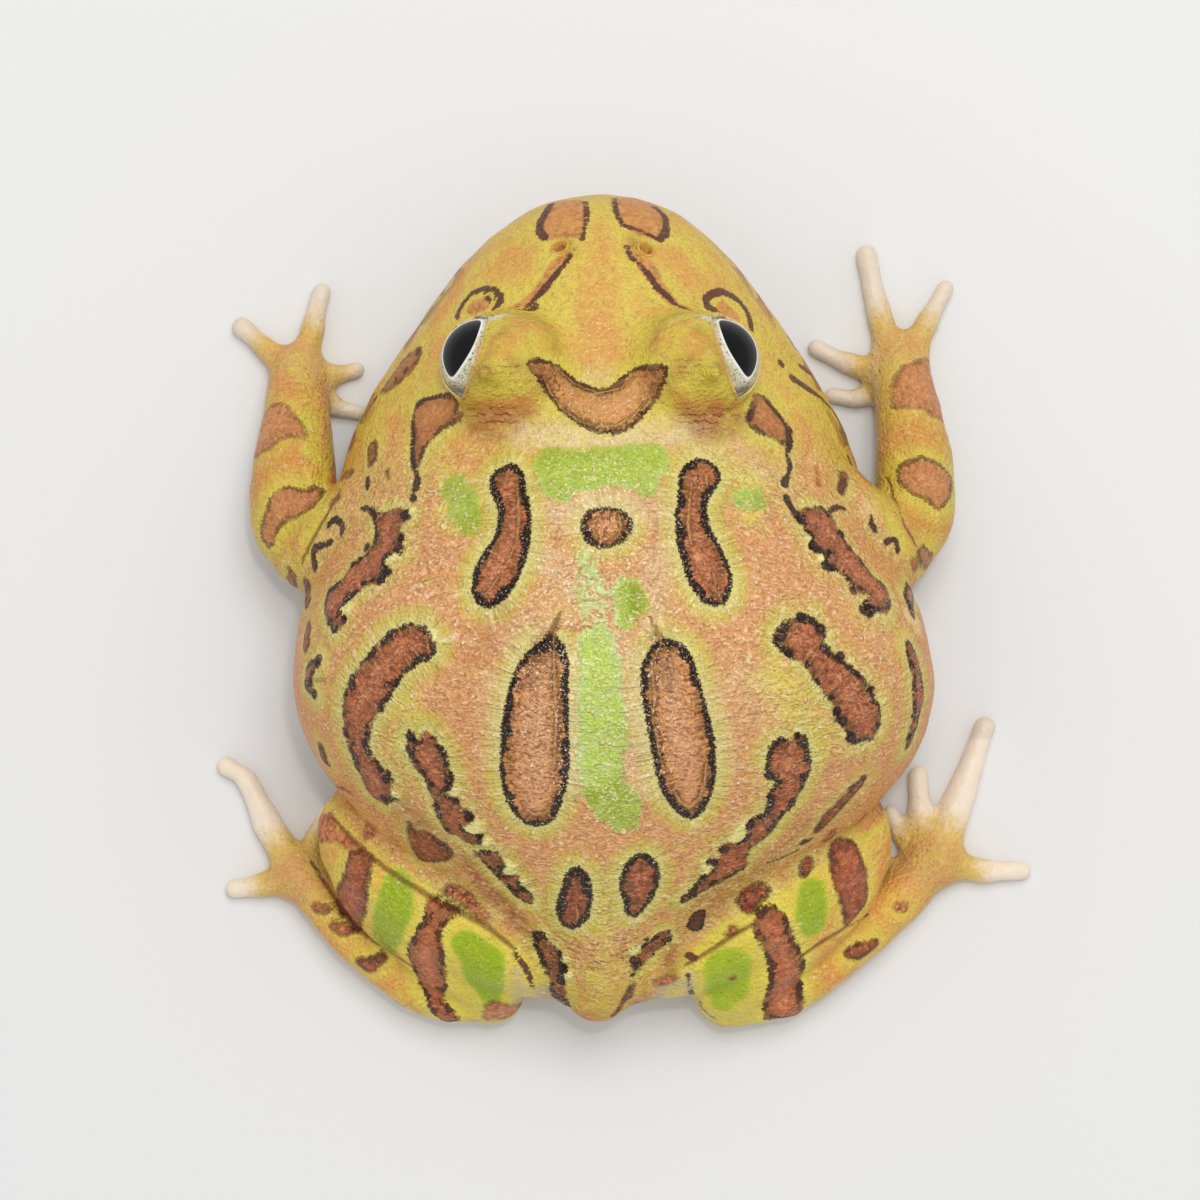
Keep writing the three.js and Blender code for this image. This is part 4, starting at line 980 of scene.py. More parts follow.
def skin_mesh(cell):
    """Zero surface of the frog's distance on a lattice: one vertex in each crossed cell, at the mean of the
    crossings on its edges, one quad round each crossed edge. Then every vertex moves halfway to the mean of its
    neighbours and slides down the slope to zero, three times over."""
    counts = np.ceil((LATTICE_HIGH - LATTICE_LOW) / cell).astype(int) + 1
    axes = [LATTICE_LOW[a] + cell * np.arange(counts[a]) for a in range(3)]
    values = np.empty(counts)
    slab = 24
    for start in range(0, counts[0], slab):
        gx, gy, gz = np.meshgrid(axes[0][start:start + slab], axes[1], axes[2], indexing="ij")
        pts = np.stack([gx.ravel(), gy.ravel(), gz.ravel()], 1)
        values[start:start + slab] = frog_distance(pts).reshape(gx.shape)
    cells = counts - 1
    total = np.zeros((*cells, 3), np.float32)
    hits = np.zeros(cells, np.int16)
    crossings = []
    for a in range(3):
        first = np.moveaxis(values, a, 0)[:-1]
        second = np.moveaxis(values, a, 0)[1:]
        i, j, k = np.nonzero((first < 0) != (second < 0))
        v0, v1 = first[i, j, k], second[i, j, k]
        b, c = [m for m in range(3) if m != a]
        place = np.stack(placed((a, b, c), (i + v0 / (v0 - v1), j, k)), 1)
        crossings.append((a, b, c, i, j, k, v0 < 0))
        for db in (0, 1):
            for dc in (0, 1):
                index = placed((a, b, c), (i, j - db, k - dc))
                ok = (index[b] >= 0) & (index[c] >= 0) & (index[b] < cells[b]) & (index[c] < cells[c])
                spot = tuple(m[ok] for m in index)
                np.add.at(total, spot, place[ok])
                np.add.at(hits, spot, 1)
    active = hits > 0
    number = np.full(cells, -1)
    number[active] = np.arange(active.sum())
    verts = LATTICE_LOW + cell * total[active] / hits[active][:, None]
    quads = []
    for a, b, c, i, j, k, inward in crossings:
        ok = (j > 0) & (k > 0) & (j < cells[b]) & (k < cells[c])
        i, j, k, inward = i[ok], j[ok], k[ok], inward[ok]
        corners = [placed((a, b, c), (i, j - db, k - dc)) for db, dc in ((1, 1), (0, 1), (0, 0), (1, 0))]
        quad = np.stack([number[tuple(index)] for index in corners], 1)
        turn = inward if a != 1 else ~inward
        quads.append(np.where(turn[:, None], quad, quad[:, ::-1]))
    quads = np.vstack(quads)
    for _ in range(3):
        verts = settle(verts + 0.5 * (neighbour_mean(verts, quads) - verts))
    return verts, quads


def gathered(index, rows, count):
    """Sums of the rows that share an index."""
    return np.stack([np.bincount(index, rows[:, a], count) for a in range(3)], 1)


def neighbour_mean(verts, quads):
    """Mean of each vertex's neighbours along the edges of its quads."""
    start, end = quads.T.ravel(), np.roll(quads, -1, 1).T.ravel()
    one, other = np.concatenate([start, end]), np.concatenate([end, start])
    return gathered(one, verts[other], len(verts)) / np.bincount(one, minlength=len(verts))[:, None]


def settle(verts):
    """One step of each vertex down the slope of the distance to where it is zero, never past the longest step."""
    longest = 0.4
    value = frog_distance(verts)
    slope = np.stack(slopes(frog_distance, verts, value, 0.04), 1)
    length2 = (slope * slope).sum(1) + 1e-4
    move = -slope * (value / length2)[:, None]
    size = np.sqrt((move * move).sum(1))
    return verts + move * np.minimum(1, longest / (size + 1e-9))[:, None]


def vertex_normals(verts, quads):
    """Unit normals: the sum over each vertex's quads of the cross product of their diagonals."""
    normal = np.cross(verts[quads[:, 2]] - verts[quads[:, 0]], verts[quads[:, 3]] - verts[quads[:, 1]])
    total = sum(gathered(quads[:, corner], normal, len(verts)) for corner in range(4))
    return total / (np.sqrt((total * total).sum(1)) + 1e-12)[:, None]


def new_mesh(name, verts, faces, material):
    """A smooth mesh object from whole arrays, moved from the frog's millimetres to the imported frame's metres."""
    mesh = bpy.data.meshes.new(name)
    sides = faces.shape[1]
    mesh.vertices.add(len(verts))
    mesh.vertices.foreach_set("co", ((verts + SHIFT) / 1000).astype(np.float32).ravel())
    mesh.loops.add(faces.size)
    mesh.loops.foreach_set("vertex_index", faces.astype(np.int32).ravel())
    mesh.polygons.add(len(faces))
    mesh.polygons.foreach_set("loop_start", np.arange(0, faces.size, sides, dtype=np.int32))
    mesh.update(calc_edges=True)
    mesh.validate()
    mesh.polygons.foreach_set("use_smooth", np.ones(len(mesh.polygons), bool))
    mesh.materials.append(material)
    obj = bpy.data.objects.new(name, mesh)
    bpy.context.scene.collection.objects.link(obj)
    return obj


def add_attribute(obj, name, values):
    """One number or one vector for every vertex."""
    kind, key = ("FLOAT_VECTOR", "vector") if np.ndim(values) == 2 else ("FLOAT", "value")
    layer = obj.data.attributes.new(name, kind, "POINT")
    layer.data.foreach_set(key, np.asarray(values, np.float32).ravel())


# Ways on to the skin

def pixel_scale(z):
    """Millimetres per pixel of the photograph's frame at height z."""
    return FRAME_WIDTH / FRAME_PIXELS * (CAMERA_HEIGHT - z) / CAMERA_REACH


def drop_on_skin(pixels):
    """The points of the skin seen at these pixels: down each line of sight until the distance turns negative, or
    where it is least on a line that misses the frog."""
    right, down = (np.asarray(pixels, float) - FRAME_PIXELS / 2).T
    fall = 0.3
    best = np.full(len(right), FAR)
    found = np.zeros(len(right), bool)
    spot = np.zeros((len(right), 3))
    before = np.full(len(right), FAR)
    for z in np.arange(46.5, fall, -fall):
        k = pixel_scale(z)
        p = np.stack([-right * k, down * k, np.full(len(right), z)], 1)
        d = frog_distance(p)
        hit = ~found & (d < 0)
        share = np.where(hit, d / (d - before + 1e-9), 0)
        spot[hit] = p[hit]
        spot[hit, 2] += fall * share[hit]
        found |= hit
        closer = ~found & (d < best)
        spot[closer] = p[closer]
        best[closer] = d[closer]
        before = d
    return spot


def outline_depth(points, corners, reach):
    """How deep each point lies inside a closed outline, in the plane that fits the outline best: the distance to
    the nearest side, positive inside, less what the point lies off that plane past 3 mm. With it goes the point of
    the outline nearest to each."""
    centre = corners.mean(0)
    _, _, axes = np.linalg.svd(corners - centre)
    flat = (points - centre) @ axes.T
    ring = closed_curve((corners - centre) @ axes[:2].T)
    near = within(flat, [*(ring.min(0) - reach), -9], [*(ring.max(0) + reach), 9])
    q = flat[near, :2]
    nearest = np.full(len(q), FAR ** 2)
    foot = q.copy()
    inside = np.zeros(len(q), bool)
    for a, b in zip(ring, np.roll(ring, -1, 0)):
        off = to_span(q, a, b)[1]
        gap = (off * off).sum(1)
        closer = gap < nearest
        nearest[closer] = gap[closer]
        foot[closer] = (q - off)[closer]
        crosses = (a[1] > q[:, 1]) != (b[1] > q[:, 1])
        inside ^= crosses & (q[:, 0] < a[0] + (q[:, 1] - a[1]) * (b[0] - a[0]) / ((b[1] - a[1]) or 1e-9))
    depth = np.full(len(points), OUTSIDE)
    depth[near] = np.where(inside, 1, -1) * np.sqrt(nearest) - np.maximum(np.abs(flat[near, 2]) - 3, 0)
    feet = points.copy()
    feet[near] = centre + foot @ axes[:2]
    return depth, feet


def band_depth(points, chain, reach):
    """How deep each point lies inside a string of discs that lies on the skin, and a set low value past the reach,
    with the nearest point of the string's middle line."""
    near = within(points, *chain_box(chain, reach))
    if len(chain) == 1:
        chain = np.vstack([chain, chain + [0, 0, 1e-3, 0]])
    p = points[near]
    best = np.full(len(p), FAR)
    foot = p.copy()
    for a, b in zip(chain[:-1], chain[1:]):
        gap, off = to_cone(p, a, b)
        closer = gap < best
        best[closer] = gap[closer]
        foot[closer] = (p - off)[closer]
    depth = np.full(len(points), OUTSIDE)
    depth[near] = -best
    feet = points.copy()
    feet[near] = foot
    return depth, feet


def line_across(points, chain):
    """For a thin line on the skin: how far each point lies to its left, and the line's half width there, which runs
    out to nothing past its ends and is nothing further than 1.3 mm away."""
    reach = 2.5
    across = np.full(len(points), -OUTSIDE)
    width = np.zeros(len(points))
    near = within(points, chain[:, :3].min(0) - reach, chain[:, :3].max(0) + reach)
    p = points[near]
    best = np.full(len(p), reach)
    side = across[near]
    half = width[near]
    last = len(chain) - 2
    for n, (a, b) in enumerate(zip(chain[:-1], chain[1:])):
        ab = b[:3] - a[:3]
        length = max(math.sqrt(ab @ ab), 1e-6)
        rel = p - a[:3]
        free = rel @ ab / length ** 2
        t = np.clip(free, 0, 1)
        off = rel - t[:, None] * ab
        gap = np.sqrt((off * off).sum(1))
        closer = gap < best
        best[closer] = gap[closer]
        past = np.maximum(-free if n == 0 else 0, free - 1 if n == last else 0) * length
        turn = np.where(ab[0] * off[:, 1] - ab[1] * off[:, 0] > 0, 1.0, -1.0)
        side[closer] = (turn * gap)[closer]
        half[closer] = ((a[3] + t * (b[3] - a[3])) * fade(0, 0.5, past))[closer]
    across[near] = side
    width[near] = np.where(best < 1.3, half, 0)
    return across, width


def lifted_bands(bands):
    """Bands of (x, y, radius) in pixels as chains of (x, y, z, radius) on the skin, all dropped at once."""
    rows = np.array([row for band in bands for row in band], float)
    spots = drop_on_skin(rows[:, :2])
    radii = rows[:, 2] * pixel_scale(spots[:, 2])
    chains = np.column_stack([spots, radii])
    cuts = np.cumsum([len(band) for band in bands])[:-1]
    return np.split(chains, cuts)


# Markings and relief on the skin

def traced_marks(points):
    """Values of the traced markings. "patch" is the depth in the nearest filled one, which also gives its look.
    "ink" is the depth in the nearest dark line. "foot" is the nearest point of the outline or middle line of any of
    them, which gives its halo, and "apart" fades out where two of them are about as near."""
    marks = {name: np.zeros(len(points)) for name in ("rim", "broken", "tone", "halo", "width")}
    marks["patch"] = np.full(len(points), OUTSIDE)
    marks["ink"] = marks["patch"].copy()
    marks["foot"] = points.copy()
    best, second = marks["patch"].copy(), marks["patch"].copy()
    rows = [row[1:] for row in MARKINGS] + [(STROKE, [bead]) for bead in BEADS]
    outlines = iter(lifted_bands([[(x, y, 0) for x, y in line] for _, line in rows if len(line[0]) == 2]))
    bands = iter(lifted_bands([line for _, line in rows if len(line[0]) == 3]))
    for look, line in rows:
        if len(line[0]) == 2:
            depth, feet = outline_depth(points, next(outlines)[:, :3], HALO_REACH)
        else:
            depth, feet = band_depth(points, next(bands), HALO_REACH)
        if look in (STROKE, INK):
            marks["ink"] = np.maximum(marks["ink"], depth)
        else:
            here = depth > marks["patch"]
            marks["patch"][here] = depth[here]
            for name, value in zip(("rim", "broken", "tone"), look):
                marks[name][here] = value
            marks["width"][here] = look[4]
        here = depth > best
        second = np.maximum(second, np.where(here, best, depth))
        best[here] = depth[here]
        marks["foot"][here] = feet[here]
        marks["halo"][here] = look[3]
    marks["apart"] = smooth_step(0.1, 1.8, best - second)
    return marks


def line_marks(points, lines):
    """How far each point lies across the nearest of some thin lines, and that line's half width."""
    nearest = np.full(len(points), -OUTSIDE)
    half = np.zeros(len(points))
    for chain in lifted_bands(lines):
        across, width = line_across(points, chain)
        here = np.abs(across) < np.abs(nearest)
        nearest[here] = across[here]
        half[here] = width[here]
    return nearest, half


def wart_marks(points):
    """1 on every wart, falling to 0 at its foot."""
    marks = np.zeros(len(points))
    for chain in lifted_bands([[wart] for wart in WARTS]):
        gap = np.linalg.norm(points - chain[0, :3], axis=1) / (WART_SPREAD * chain[0, 3])
        marks = np.maximum(marks, fade(0.35, 1.0, gap))
    return marks


def wash_marks(points, rows):
    """Strength of the strongest wash at each point, full a little inside its band and nothing past its softness."""
    marks = np.zeros(len(points))
    for (strength, softness, _), chain in zip(rows, lifted_bands([row[2] for row in rows])):
        depth = band_depth(points, chain, softness + 0.5)[0]
        marks = np.maximum(marks, strength * smooth_step(-softness, 0.4 * softness, depth))
    return marks


def body_marks(points, normals):
    """Every value that the skin's finish reads, one array each, worked out at the given points of the skin: the
    markings, lines and washes first, then what follows from the place on the body."""
    x, y, z = points.T
    upward = normals[:, 2]
    marks = traced_marks(points)
    marks["crease"], marks["crease_width"] = line_marks(points, CREASES)
    marks["fold"], marks["fold_width"] = line_marks(points, FOLDS)
    marks["wart"] = wart_marks(points)
    greens = [(strength, 2.2 if rows[0][1] < HIND_LEG_PIXEL else 1.4, rows) for strength, rows in GREENS]
    for name, rows in {**WASHES, "green": greens}.items():
        marks[name] = wash_marks(points, rows)
    digits = np.min([chain_distance(points, np.array(rows, float)) for rows in DIGITS.values()], 0)
    out_of_palm = np.min([np.linalg.norm(points - rows[-1][:3], axis=1) for rows in PALMS.values()], 0)
    marks["pale"] = fade(0.2, 1.4, digits) * smooth_step(1.5, 12.0, out_of_palm)
    underside = smooth_step(0.05, 0.7, -upward) * fade(7, 13, z)
    marks["belly"] = np.maximum(underside, 0.5 * fade(0.3, 3.0, z) * (digits > 1))
    off_body = np.abs(body_distance(points))
    lip = np.abs(z - curve_through(WIDEST_HEIGHT, y) + LIP_DROP)
    marks["mouth"] = fade(0.15, 0.75, lip) * (off_body < 1.2) * fade(MOUTH_CORNER_Y, MOUTH_CORNER_Y + 3, y)
    near_body = fade(0.8, 3.0, off_body)
    on_trunk = near_body * smooth_step(*NECK, y)
    limb = smooth_step(1.5, 4.0, off_body) * (np.abs(x) > 24)
    palms = fade(3.5, 9, out_of_palm)
    marks["rugged"] = np.clip(0.3 + 0.7 * on_trunk + 0.3 * limb - 0.35 * palms - 0.25 * marks["pale"], 0.05, 1)
    marks["face"] = near_body * fade(*NECK, y)
    for share in (0.9 * on_trunk, 0.66 * limb, 0.45 * palms, 0.35 * marks["face"]):
        marks["warm"] = np.maximum(marks["warm"], share)
    marks["warm"] *= 1 - marks["yellow"]
    marks["cream_and_sheen"] = np.maximum(marks["cream_and_sheen"], 0.3 * palms)
    marks["foreleg"] = limb * (y < 5)
    # Painted light: where the hind legs are lightened
    marks["hind_leg_lit"] = smooth_step(1.0, 3.0, off_body) * (y > 20) * (1 - palms)
    # Painted shade: how far the skin turns away from the light above
    marks["steep_shade"] = smooth_step(0.12, 0.85, 1 - upward) * near_body
    marks["steep_shade"] *= 1 - marks["belly"]
    side = smooth_step(0.0, 0.35, 0.5 - upward) * smooth_step(3, 6, z)
    marks["flank"] = side * near_body * fade(18, 22, z)
    marks["flank"] *= smooth_step(-54, -44, y) * fade(-3.5, -1.0, marks["patch"])
    marks["dorsal"] = on_trunk * smooth_step(15, 25, z)
    marks["phase"] = y / WRINKLE_PITCH + np.where(y > 20, WRINKLE_BOW / WRINKLE_PITCH * x ** 2, 0)
    return marks


def raise_skin(points, normals, marks):
    """The skin pushed out along its normals: markings and warts stand proud, folds and the mouth go in, with low
    random swellings everywhere, and nothing leaves the box of the solids."""
    lift = RIM_LIFT * smooth_step(-0.2, 0.5, marks["patch"]) * marks["rim"]
    lift = np.maximum(lift, INK_LIFT * smooth_step(-0.2, 0.4, marks["ink"]) * marks["rugged"])
    lift += sum(height * noise(points, size, NOISE_SEED + n) for n, (height, size) in enumerate(SWELLINGS))
    lift += WART_LIFT * marks["wart"]
    lift -= FOLD_DEPTH * marks["fold_width"] * fade(0, 0.9, np.abs(marks["fold"]))
    lift -= MOUTH_DEPTH * marks["mouth"]
    low_side, high_side = (np.array(side) * 1000 - SHIFT for side in CAD_BOX)
    return np.clip(points + normals * lift[:, None], low_side, high_side)


def nearest_marks(marks, verts, points):
    """Values of the skin vertices nearest to the points."""
    near = np.array([int(np.argmin(((verts - p) ** 2).sum(1))) for p in points])
    return {name: values[near] for name, values in marks.items()}


# Small pieces

def pole_faces(rings, around):
    """Triangles of a closed form of rings between two poles: vertex 0, the rings in turn, and the last vertex."""
    j = np.arange(around)
    after = (j + 1) % around
    faces = [np.stack([np.zeros(around, int), 1 + j, 1 + after], 1)]
    for a in range(1, 1 + (rings - 1) * around, around):
        b = a + around
        faces.append(np.stack([a + j, b + j, b + after], 1))
        faces.append(np.stack([a + j, b + after, a + after], 1))
    a = 1 + (rings - 1) * around
    faces.append(np.stack([a + j, np.full(around, a + around), a + after], 1))
    return np.vstack(faces)


def turned(around):
    """Cosines and sines of evenly spread angles, once round."""
    b = 2 * np.pi * np.arange(around) / around
    return np.cos(b), np.sin(b)


def ball_rings(centre, axis, radius, rings, around):
    """A ball round its axis, poles on the axis: centre + radius (cos a axis + sin a (cos b side + sin b across))."""
    side = unit(np.cross(axis, [0, 1, 0.02]))
    across = np.cross(axis, side)
    a = np.pi * np.arange(1, rings + 1)[:, None, None] / (rings + 1)
    cos_b, sin_b = turned(around)
    grid = np.cos(a) * axis + np.sin(a) * (cos_b[None, :, None] * side + sin_b[None, :, None] * across)
    return np.vstack([centre + radius * axis, (centre + radius * grid).reshape(-1, 3), centre - radius * axis])


def lid_edge(side, which):
    """A soft round bead along the edge of one lid: a tube on the circle where the lid's plane cuts a ball a little
    larger than the eye, from the front corner to the rear, thinning into the corners."""
    steps, around = 49, 12
    normals, corner = lid_planes(side)
    normal = normals[which]
    reach = EYE_RADIUS + LID_EDGE_LIFT[which]
    offset = corner @ normal
    middle = normal * offset
    radius = math.sqrt(reach ** 2 - offset ** 2)
    via = mirrored((LID_TOP, LID_LOW)[which], side) - middle
    via = unit(via - normal * (via @ normal))
    along = np.cross(normal, via)
    ends = (mirrored(LID_FRONT, side) - middle, mirrored(LID_REAR, side) - middle)
    start, end = (math.atan2(way @ along, way @ via) for way in ends)
    over = math.copysign(0.1, end - start)
    a = np.linspace(start - over, end + over, steps)
    path = middle + radius * (np.cos(a)[:, None] * via + np.sin(a)[:, None] * along)
    outward = path / np.linalg.norm(path, axis=1)[:, None]
    across = np.cross(np.gradient(path, axis=0), outward)
    across /= np.linalg.norm(across, axis=1)[:, None]
    thick = LID_EDGE_RADIUS[which] * np.sqrt(np.maximum(1 - np.linspace(-1, 1, steps) ** 6, 0.02))
    cos_b, sin_b = turned(around)
    rings = path[:, None] + thick[:, None, None] * (
        cos_b[None, :, None] * outward[:, None] + sin_b[None, :, None] * across[:, None]
    )
    verts = np.vstack([path[:1], rings.reshape(-1, 3), path[-1:]]) + mirrored(EYE_CENTRE, side)
    return verts, pole_faces(steps, around)


def crater(spot, normal, long_way):
    """A nostril: a raised lip round a pit, revolved from its profile into an ellipse that runs the long way."""
    around = 28
    along = unit(long_way - normal * (long_way @ normal))
    across = np.cross(normal, along)
    cos_b, sin_b = turned(around)
    ring = NOSTRIL_HALF_LENGTH * cos_b[:, None] * along + NOSTRIL_HALF_WIDTH * sin_b[:, None] * across
    rings = [spot + share * ring + height * normal for share, height in NOSTRIL_PROFILE]
    verts = np.vstack([spot - 1.2 * normal, np.vstack(rings), spot - 0.84 * normal])
    return verts, pole_faces(len(NOSTRIL_PROFILE), around)


def outward_faces(verts, faces):
    """The faces turned round if the closed form they make holds less than nothing."""
    a, b, c = (verts[faces[:, n]] for n in range(3))
    volume = np.einsum("ij,ij->i", a - verts[0], np.cross(b - verts[0], c - verts[0])).sum()
    return faces if volume > 0 else faces[:, ::-1]


def dress(obj, marks):
    """Give a piece its values, and let it ride with the frog's one body."""
    for name, values in marks.items():
        add_attribute(obj, name, values)
    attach(obj, "root")


# Finishes

def shade(red, green, blue):
    """A colour as seen, 0 to 255, as the linear colour the shader takes."""
    seen = np.array([red, green, blue]) / 255
    linear = np.where(seen <= 0.04045, seen / 12.92, ((seen + 0.055) / 1.055) ** 2.4)
    return (*map(float, linear), 1.0)


class Socket:
    """A value on its way through a finish: arithmetic on it adds the Math nodes."""

    def __init__(self, finish, link):
        self.finish = finish
        self.link = link

    def math(self, operation, *inputs):
        return self.finish.node("ShaderNodeMath", {"operation": operation}, dict(enumerate(inputs)))

    def __add__(self, other):
        return self.math("ADD", self, other)

    def __radd__(self, other):
        return self.math("ADD", other, self)

    def __sub__(self, other):
        return self.math("SUBTRACT", self, other)

    def __rsub__(self, other):
        return self.math("SUBTRACT", other, self)

    def __mul__(self, other):
        return self.math("MULTIPLY", self, other)

    def __truediv__(self, other):
        return self.math("DIVIDE", self, other)

    def __abs__(self):
        return self.math("ABSOLUTE", self)

    def most(self, other):
        return self.math("MAXIMUM", self, other)


class Finish:
    """A material: its shader, and the nodes that feed it."""

    def __init__(self, name, **constants):
        self.material = bpy.data.materials.new(name)
        self.material.use_nodes = True
        self.nodes = self.material.node_tree.nodes
        self.links = self.material.node_tree.links
        self.shader = self.nodes["Principled BSDF"]
        for socket, value in constants.items():
            self.shader.inputs[socket.replace("_", " ")].default_value = value
        here = self.node("ShaderNodeTexCoord", {}, {}, "Object")
        self.place = self.scale(here, 1000.0)

    def node(self, kind, settings, values, out=0):
        """Add a node of this type, with its settings and the values or links of its sockets, and give one output."""
        node = self.nodes.new(kind)
        for name, value in settings.items():
            setattr(node, name, value)
        for key, value in values.items():
            if isinstance(value, Socket):
                self.links.new(value.link, node.inputs[key])
            else:
                node.inputs[key].default_value = value
        return Socket(self, node.outputs[out])

    def feed(self, name, socket):
        self.links.new(socket.link, self.shader.inputs[name])

    def mark(self, name, out="Fac"):
        """The value of this name that the piece carries for every vertex."""
        return self.node("ShaderNodeAttribute", {"attribute_name": name}, {}, out)

    def noise(self, size, detail=2.0, stretch=(1, 1, 1), place=None):
        """Noise of about 0.3 to 0.7 with grains of the given size in millimetres."""
        scaled = self.node(
            "ShaderNodeVectorMath", {"operation": "MULTIPLY"},
            {0: place or self.place, 1: tuple(1 / (size * s) for s in stretch)},
        )
        return self.node("ShaderNodeTexNoise", {}, {"Vector": scaled, "Scale": 1.0, "Detail": detail}, "Fac")

    def cells(self, size):
        """Distance to the nearest of points scattered about one to a cell of the given size in millimetres."""
        return self.node("ShaderNodeTexVoronoi", {}, {"Vector": self.place, "Scale": 1 / size}, "Distance")

    def step(self, low_edge, high_edge, value):
        """Rises smoothly from 0 at the low edge to 1 at the high one."""
        return self.node(
            "ShaderNodeMapRange", {"interpolation_type": "SMOOTHSTEP"}, {0: value, 1: low_edge, 2: high_edge}
        )

    def fade(self, low_edge, high_edge, value):
        """Falls smoothly from 1 at the low edge to 0 at the high one."""
        return 1 - self.step(low_edge, high_edge, value)

    def mix(self, first, second, share):
        """The first colour, with this share of the second: red, green and blue as seen, or a link."""
        first, second = (shade(*color) if isinstance(color, tuple) else color for color in (first, second))
        return self.node("ShaderNodeMix", {"data_type": "RGBA"}, {0: share, 6: first, 7: second}, 2)

    def over(self, color, *layers):
        """A colour under layers of (colour, share), the last on top."""
        for layer in layers:
            color = self.mix(color, *layer)
        return color

    def scale(self, color, factor):
        return self.node("ShaderNodeVectorMath", {"operation": "SCALE"}, {0: color, "Scale": factor})

    def bump(self, height):
        """Feed the normal with a height in millimetres."""
        normal = self.node("ShaderNodeBump", {}, {"Height": height, "Distance": 0.001, "Strength": 1.0})
        self.feed("Normal", normal)


def skin_finish():
    """Moist grained skin: ground from yellow to salmon, fine ridges that run straight out from the markings, washes,
    haloed markings with toothed dark rims, pale pustules and pores. Light and shade are painted in too: highlights on
    the crests and rims, wet glints, a sheen on the back, and shade in the grooves, creases, folds, pits and on steep
    skin."""
    f = Finish("frog_skin", Specular_IOR_Level=0.32)
    coarse, medium, fine = f.noise(5.5), f.noise(1.7), f.noise(0.42)
    small, grit = f.noise(0.8, 1.0), f.noise(0.2, 1.0)
    # The same as swings about their mean
    coarse_sway, medium_sway, small_sway, fine_sway = coarse - 0.5, medium - 0.5, small - 0.5, fine - 0.5
    patch, ink, halo = f.mark("patch"), f.mark("ink"), f.mark("halo")
    broken, rim_strength, rugged = f.mark("broken"), f.mark("rim"), f.mark("rugged")
    pale, dew, grains, rust_and_shade = f.mark("pale"), f.mark("dew"), f.mark("grains"), f.mark("rust_and_shade")
    dorsal, face, wet = f.mark("dorsal"), f.mark("face"), f.mark("wet")
    around = patch.most(ink)

    # Ridges: noise of the nearest outline point alone near a marking, long level waves elsewhere
    foot = f.mark("foot", "Vector")
    rays = f.noise(0.36, 1.0, place=foot)
    swayed = f.node("ShaderNodeVectorMath", {"operation": "MULTIPLY_ADD"}, {
        0: f.node("ShaderNodeTexNoise", {}, {"Vector": f.place, "Scale": 0.45, "Detail": 1.0}, "Color"),
        1: (2.5, 2.5, 2.5), 2: f.place,
    })
    waves = f.noise(0.42, 1.5, (2.6, 0.85, 1.2), swayed)
    beside = f.step(-4.4, -2.0, around) * f.fade(0.9, 1.9, patch) * f.mark("apart")
    ridge = waves + (rays - waves) * beside * 0.75
    relief = ridge * 0.75 + fine * 0.25
    # Painted highlight where the ridges crest, painted shade in the grooves between them
    crest_highlight = f.step(0.5, 0.68, relief) * rugged
    groove_shade = f.fade(0.34, 0.5, relief) * rugged

    # The markings' edges, toothed by the rays, their dark rims and the halos round them
    edge = patch + (rays - 0.5) * 0.9 + medium_sway * (0.3 + broken * 1.3) + fine_sway * 0.7
    inside = f.step(-0.1, 0.12, edge)
    gate = 1 - broken * f.fade(0.44, 0.52, f.noise(2.2))
    span = f.mark("width") * (f.noise(2.6, 1.0, place=foot) * 2.6 - 0.3)
    rim = f.step(-0.34, -0.16, edge) * f.fade(-0.4, -0.08, edge - span) * rim_strength * gate
    by_rim = f.step(-3.5, -1.4, around + coarse_sway * 1.6 + small_sway * 1.2) * halo
    glow = f.step(-2.0, -0.4, around + coarse_sway * 1.4) * halo

    # The ground between the markings: yellow or warm, then halo, washes, painted highlights on the crests and painted
    # shade in the grooves
    warmth = f.step(0.08, 0.92, f.mark("warm") + coarse_sway * 1.1 + medium_sway * 0.8 + small_sway * 0.3)
    warm = f.mix(f.mix((212, 142, 72), (222, 158, 104), dorsal), (222, 164, 86), face)
    yellow = f.mix((210, 190, 72), (222, 202, 88), face.most(dorsal))
    sides = f.mark("green") + medium_sway * (0.35 + dorsal * 0.4) + (ridge - 0.5) * 0.9 * rugged + fine_sway * 0.4
    green = f.step(0.36, 0.6, sides)
    dull = f.mix((180, 188, 44), (196, 220, 146), dew)
    lush = f.mix(dull, f.mix((144, 170, 10), (188, 216, 82), dew), f.step(0.5, 0.95, sides))
    ground = f.over(
        f.mix(yellow, warm, warmth),
        (f.mix((212, 192, 72), (208, 194, 82), dorsal), by_rim * 0.85),
        (f.mix((216, 200, 84), (220, 209, 128), dorsal), glow * 0.85),
        ((232, 208, 164), f.mark("cream_and_sheen") * (0.65 + medium_sway * 1.4)),
        (lush, green * 0.96),
        # Rusty brown, partly painted shade in the folds and under the brows
        ((150, 78, 40), rust_and_shade * (0.75 + fine_sway * 1.6 + medium_sway * 1.2)),
        ((178, 160, 154), f.mark("mauve") * (0.85 + medium_sway * 1.4)),
        (f.mix((240, 214, 140), (252, 230, 206), dorsal), crest_highlight * 0.44),
        ((180, 92, 40), groove_shade * (0.12 + warmth * 0.2) * (1 - green * 0.8) * (1 - beside * 0.6)),
        ((240, 232, 156), f.mark("wart") * (1.1 + fine_sway * 0.8)),
    )

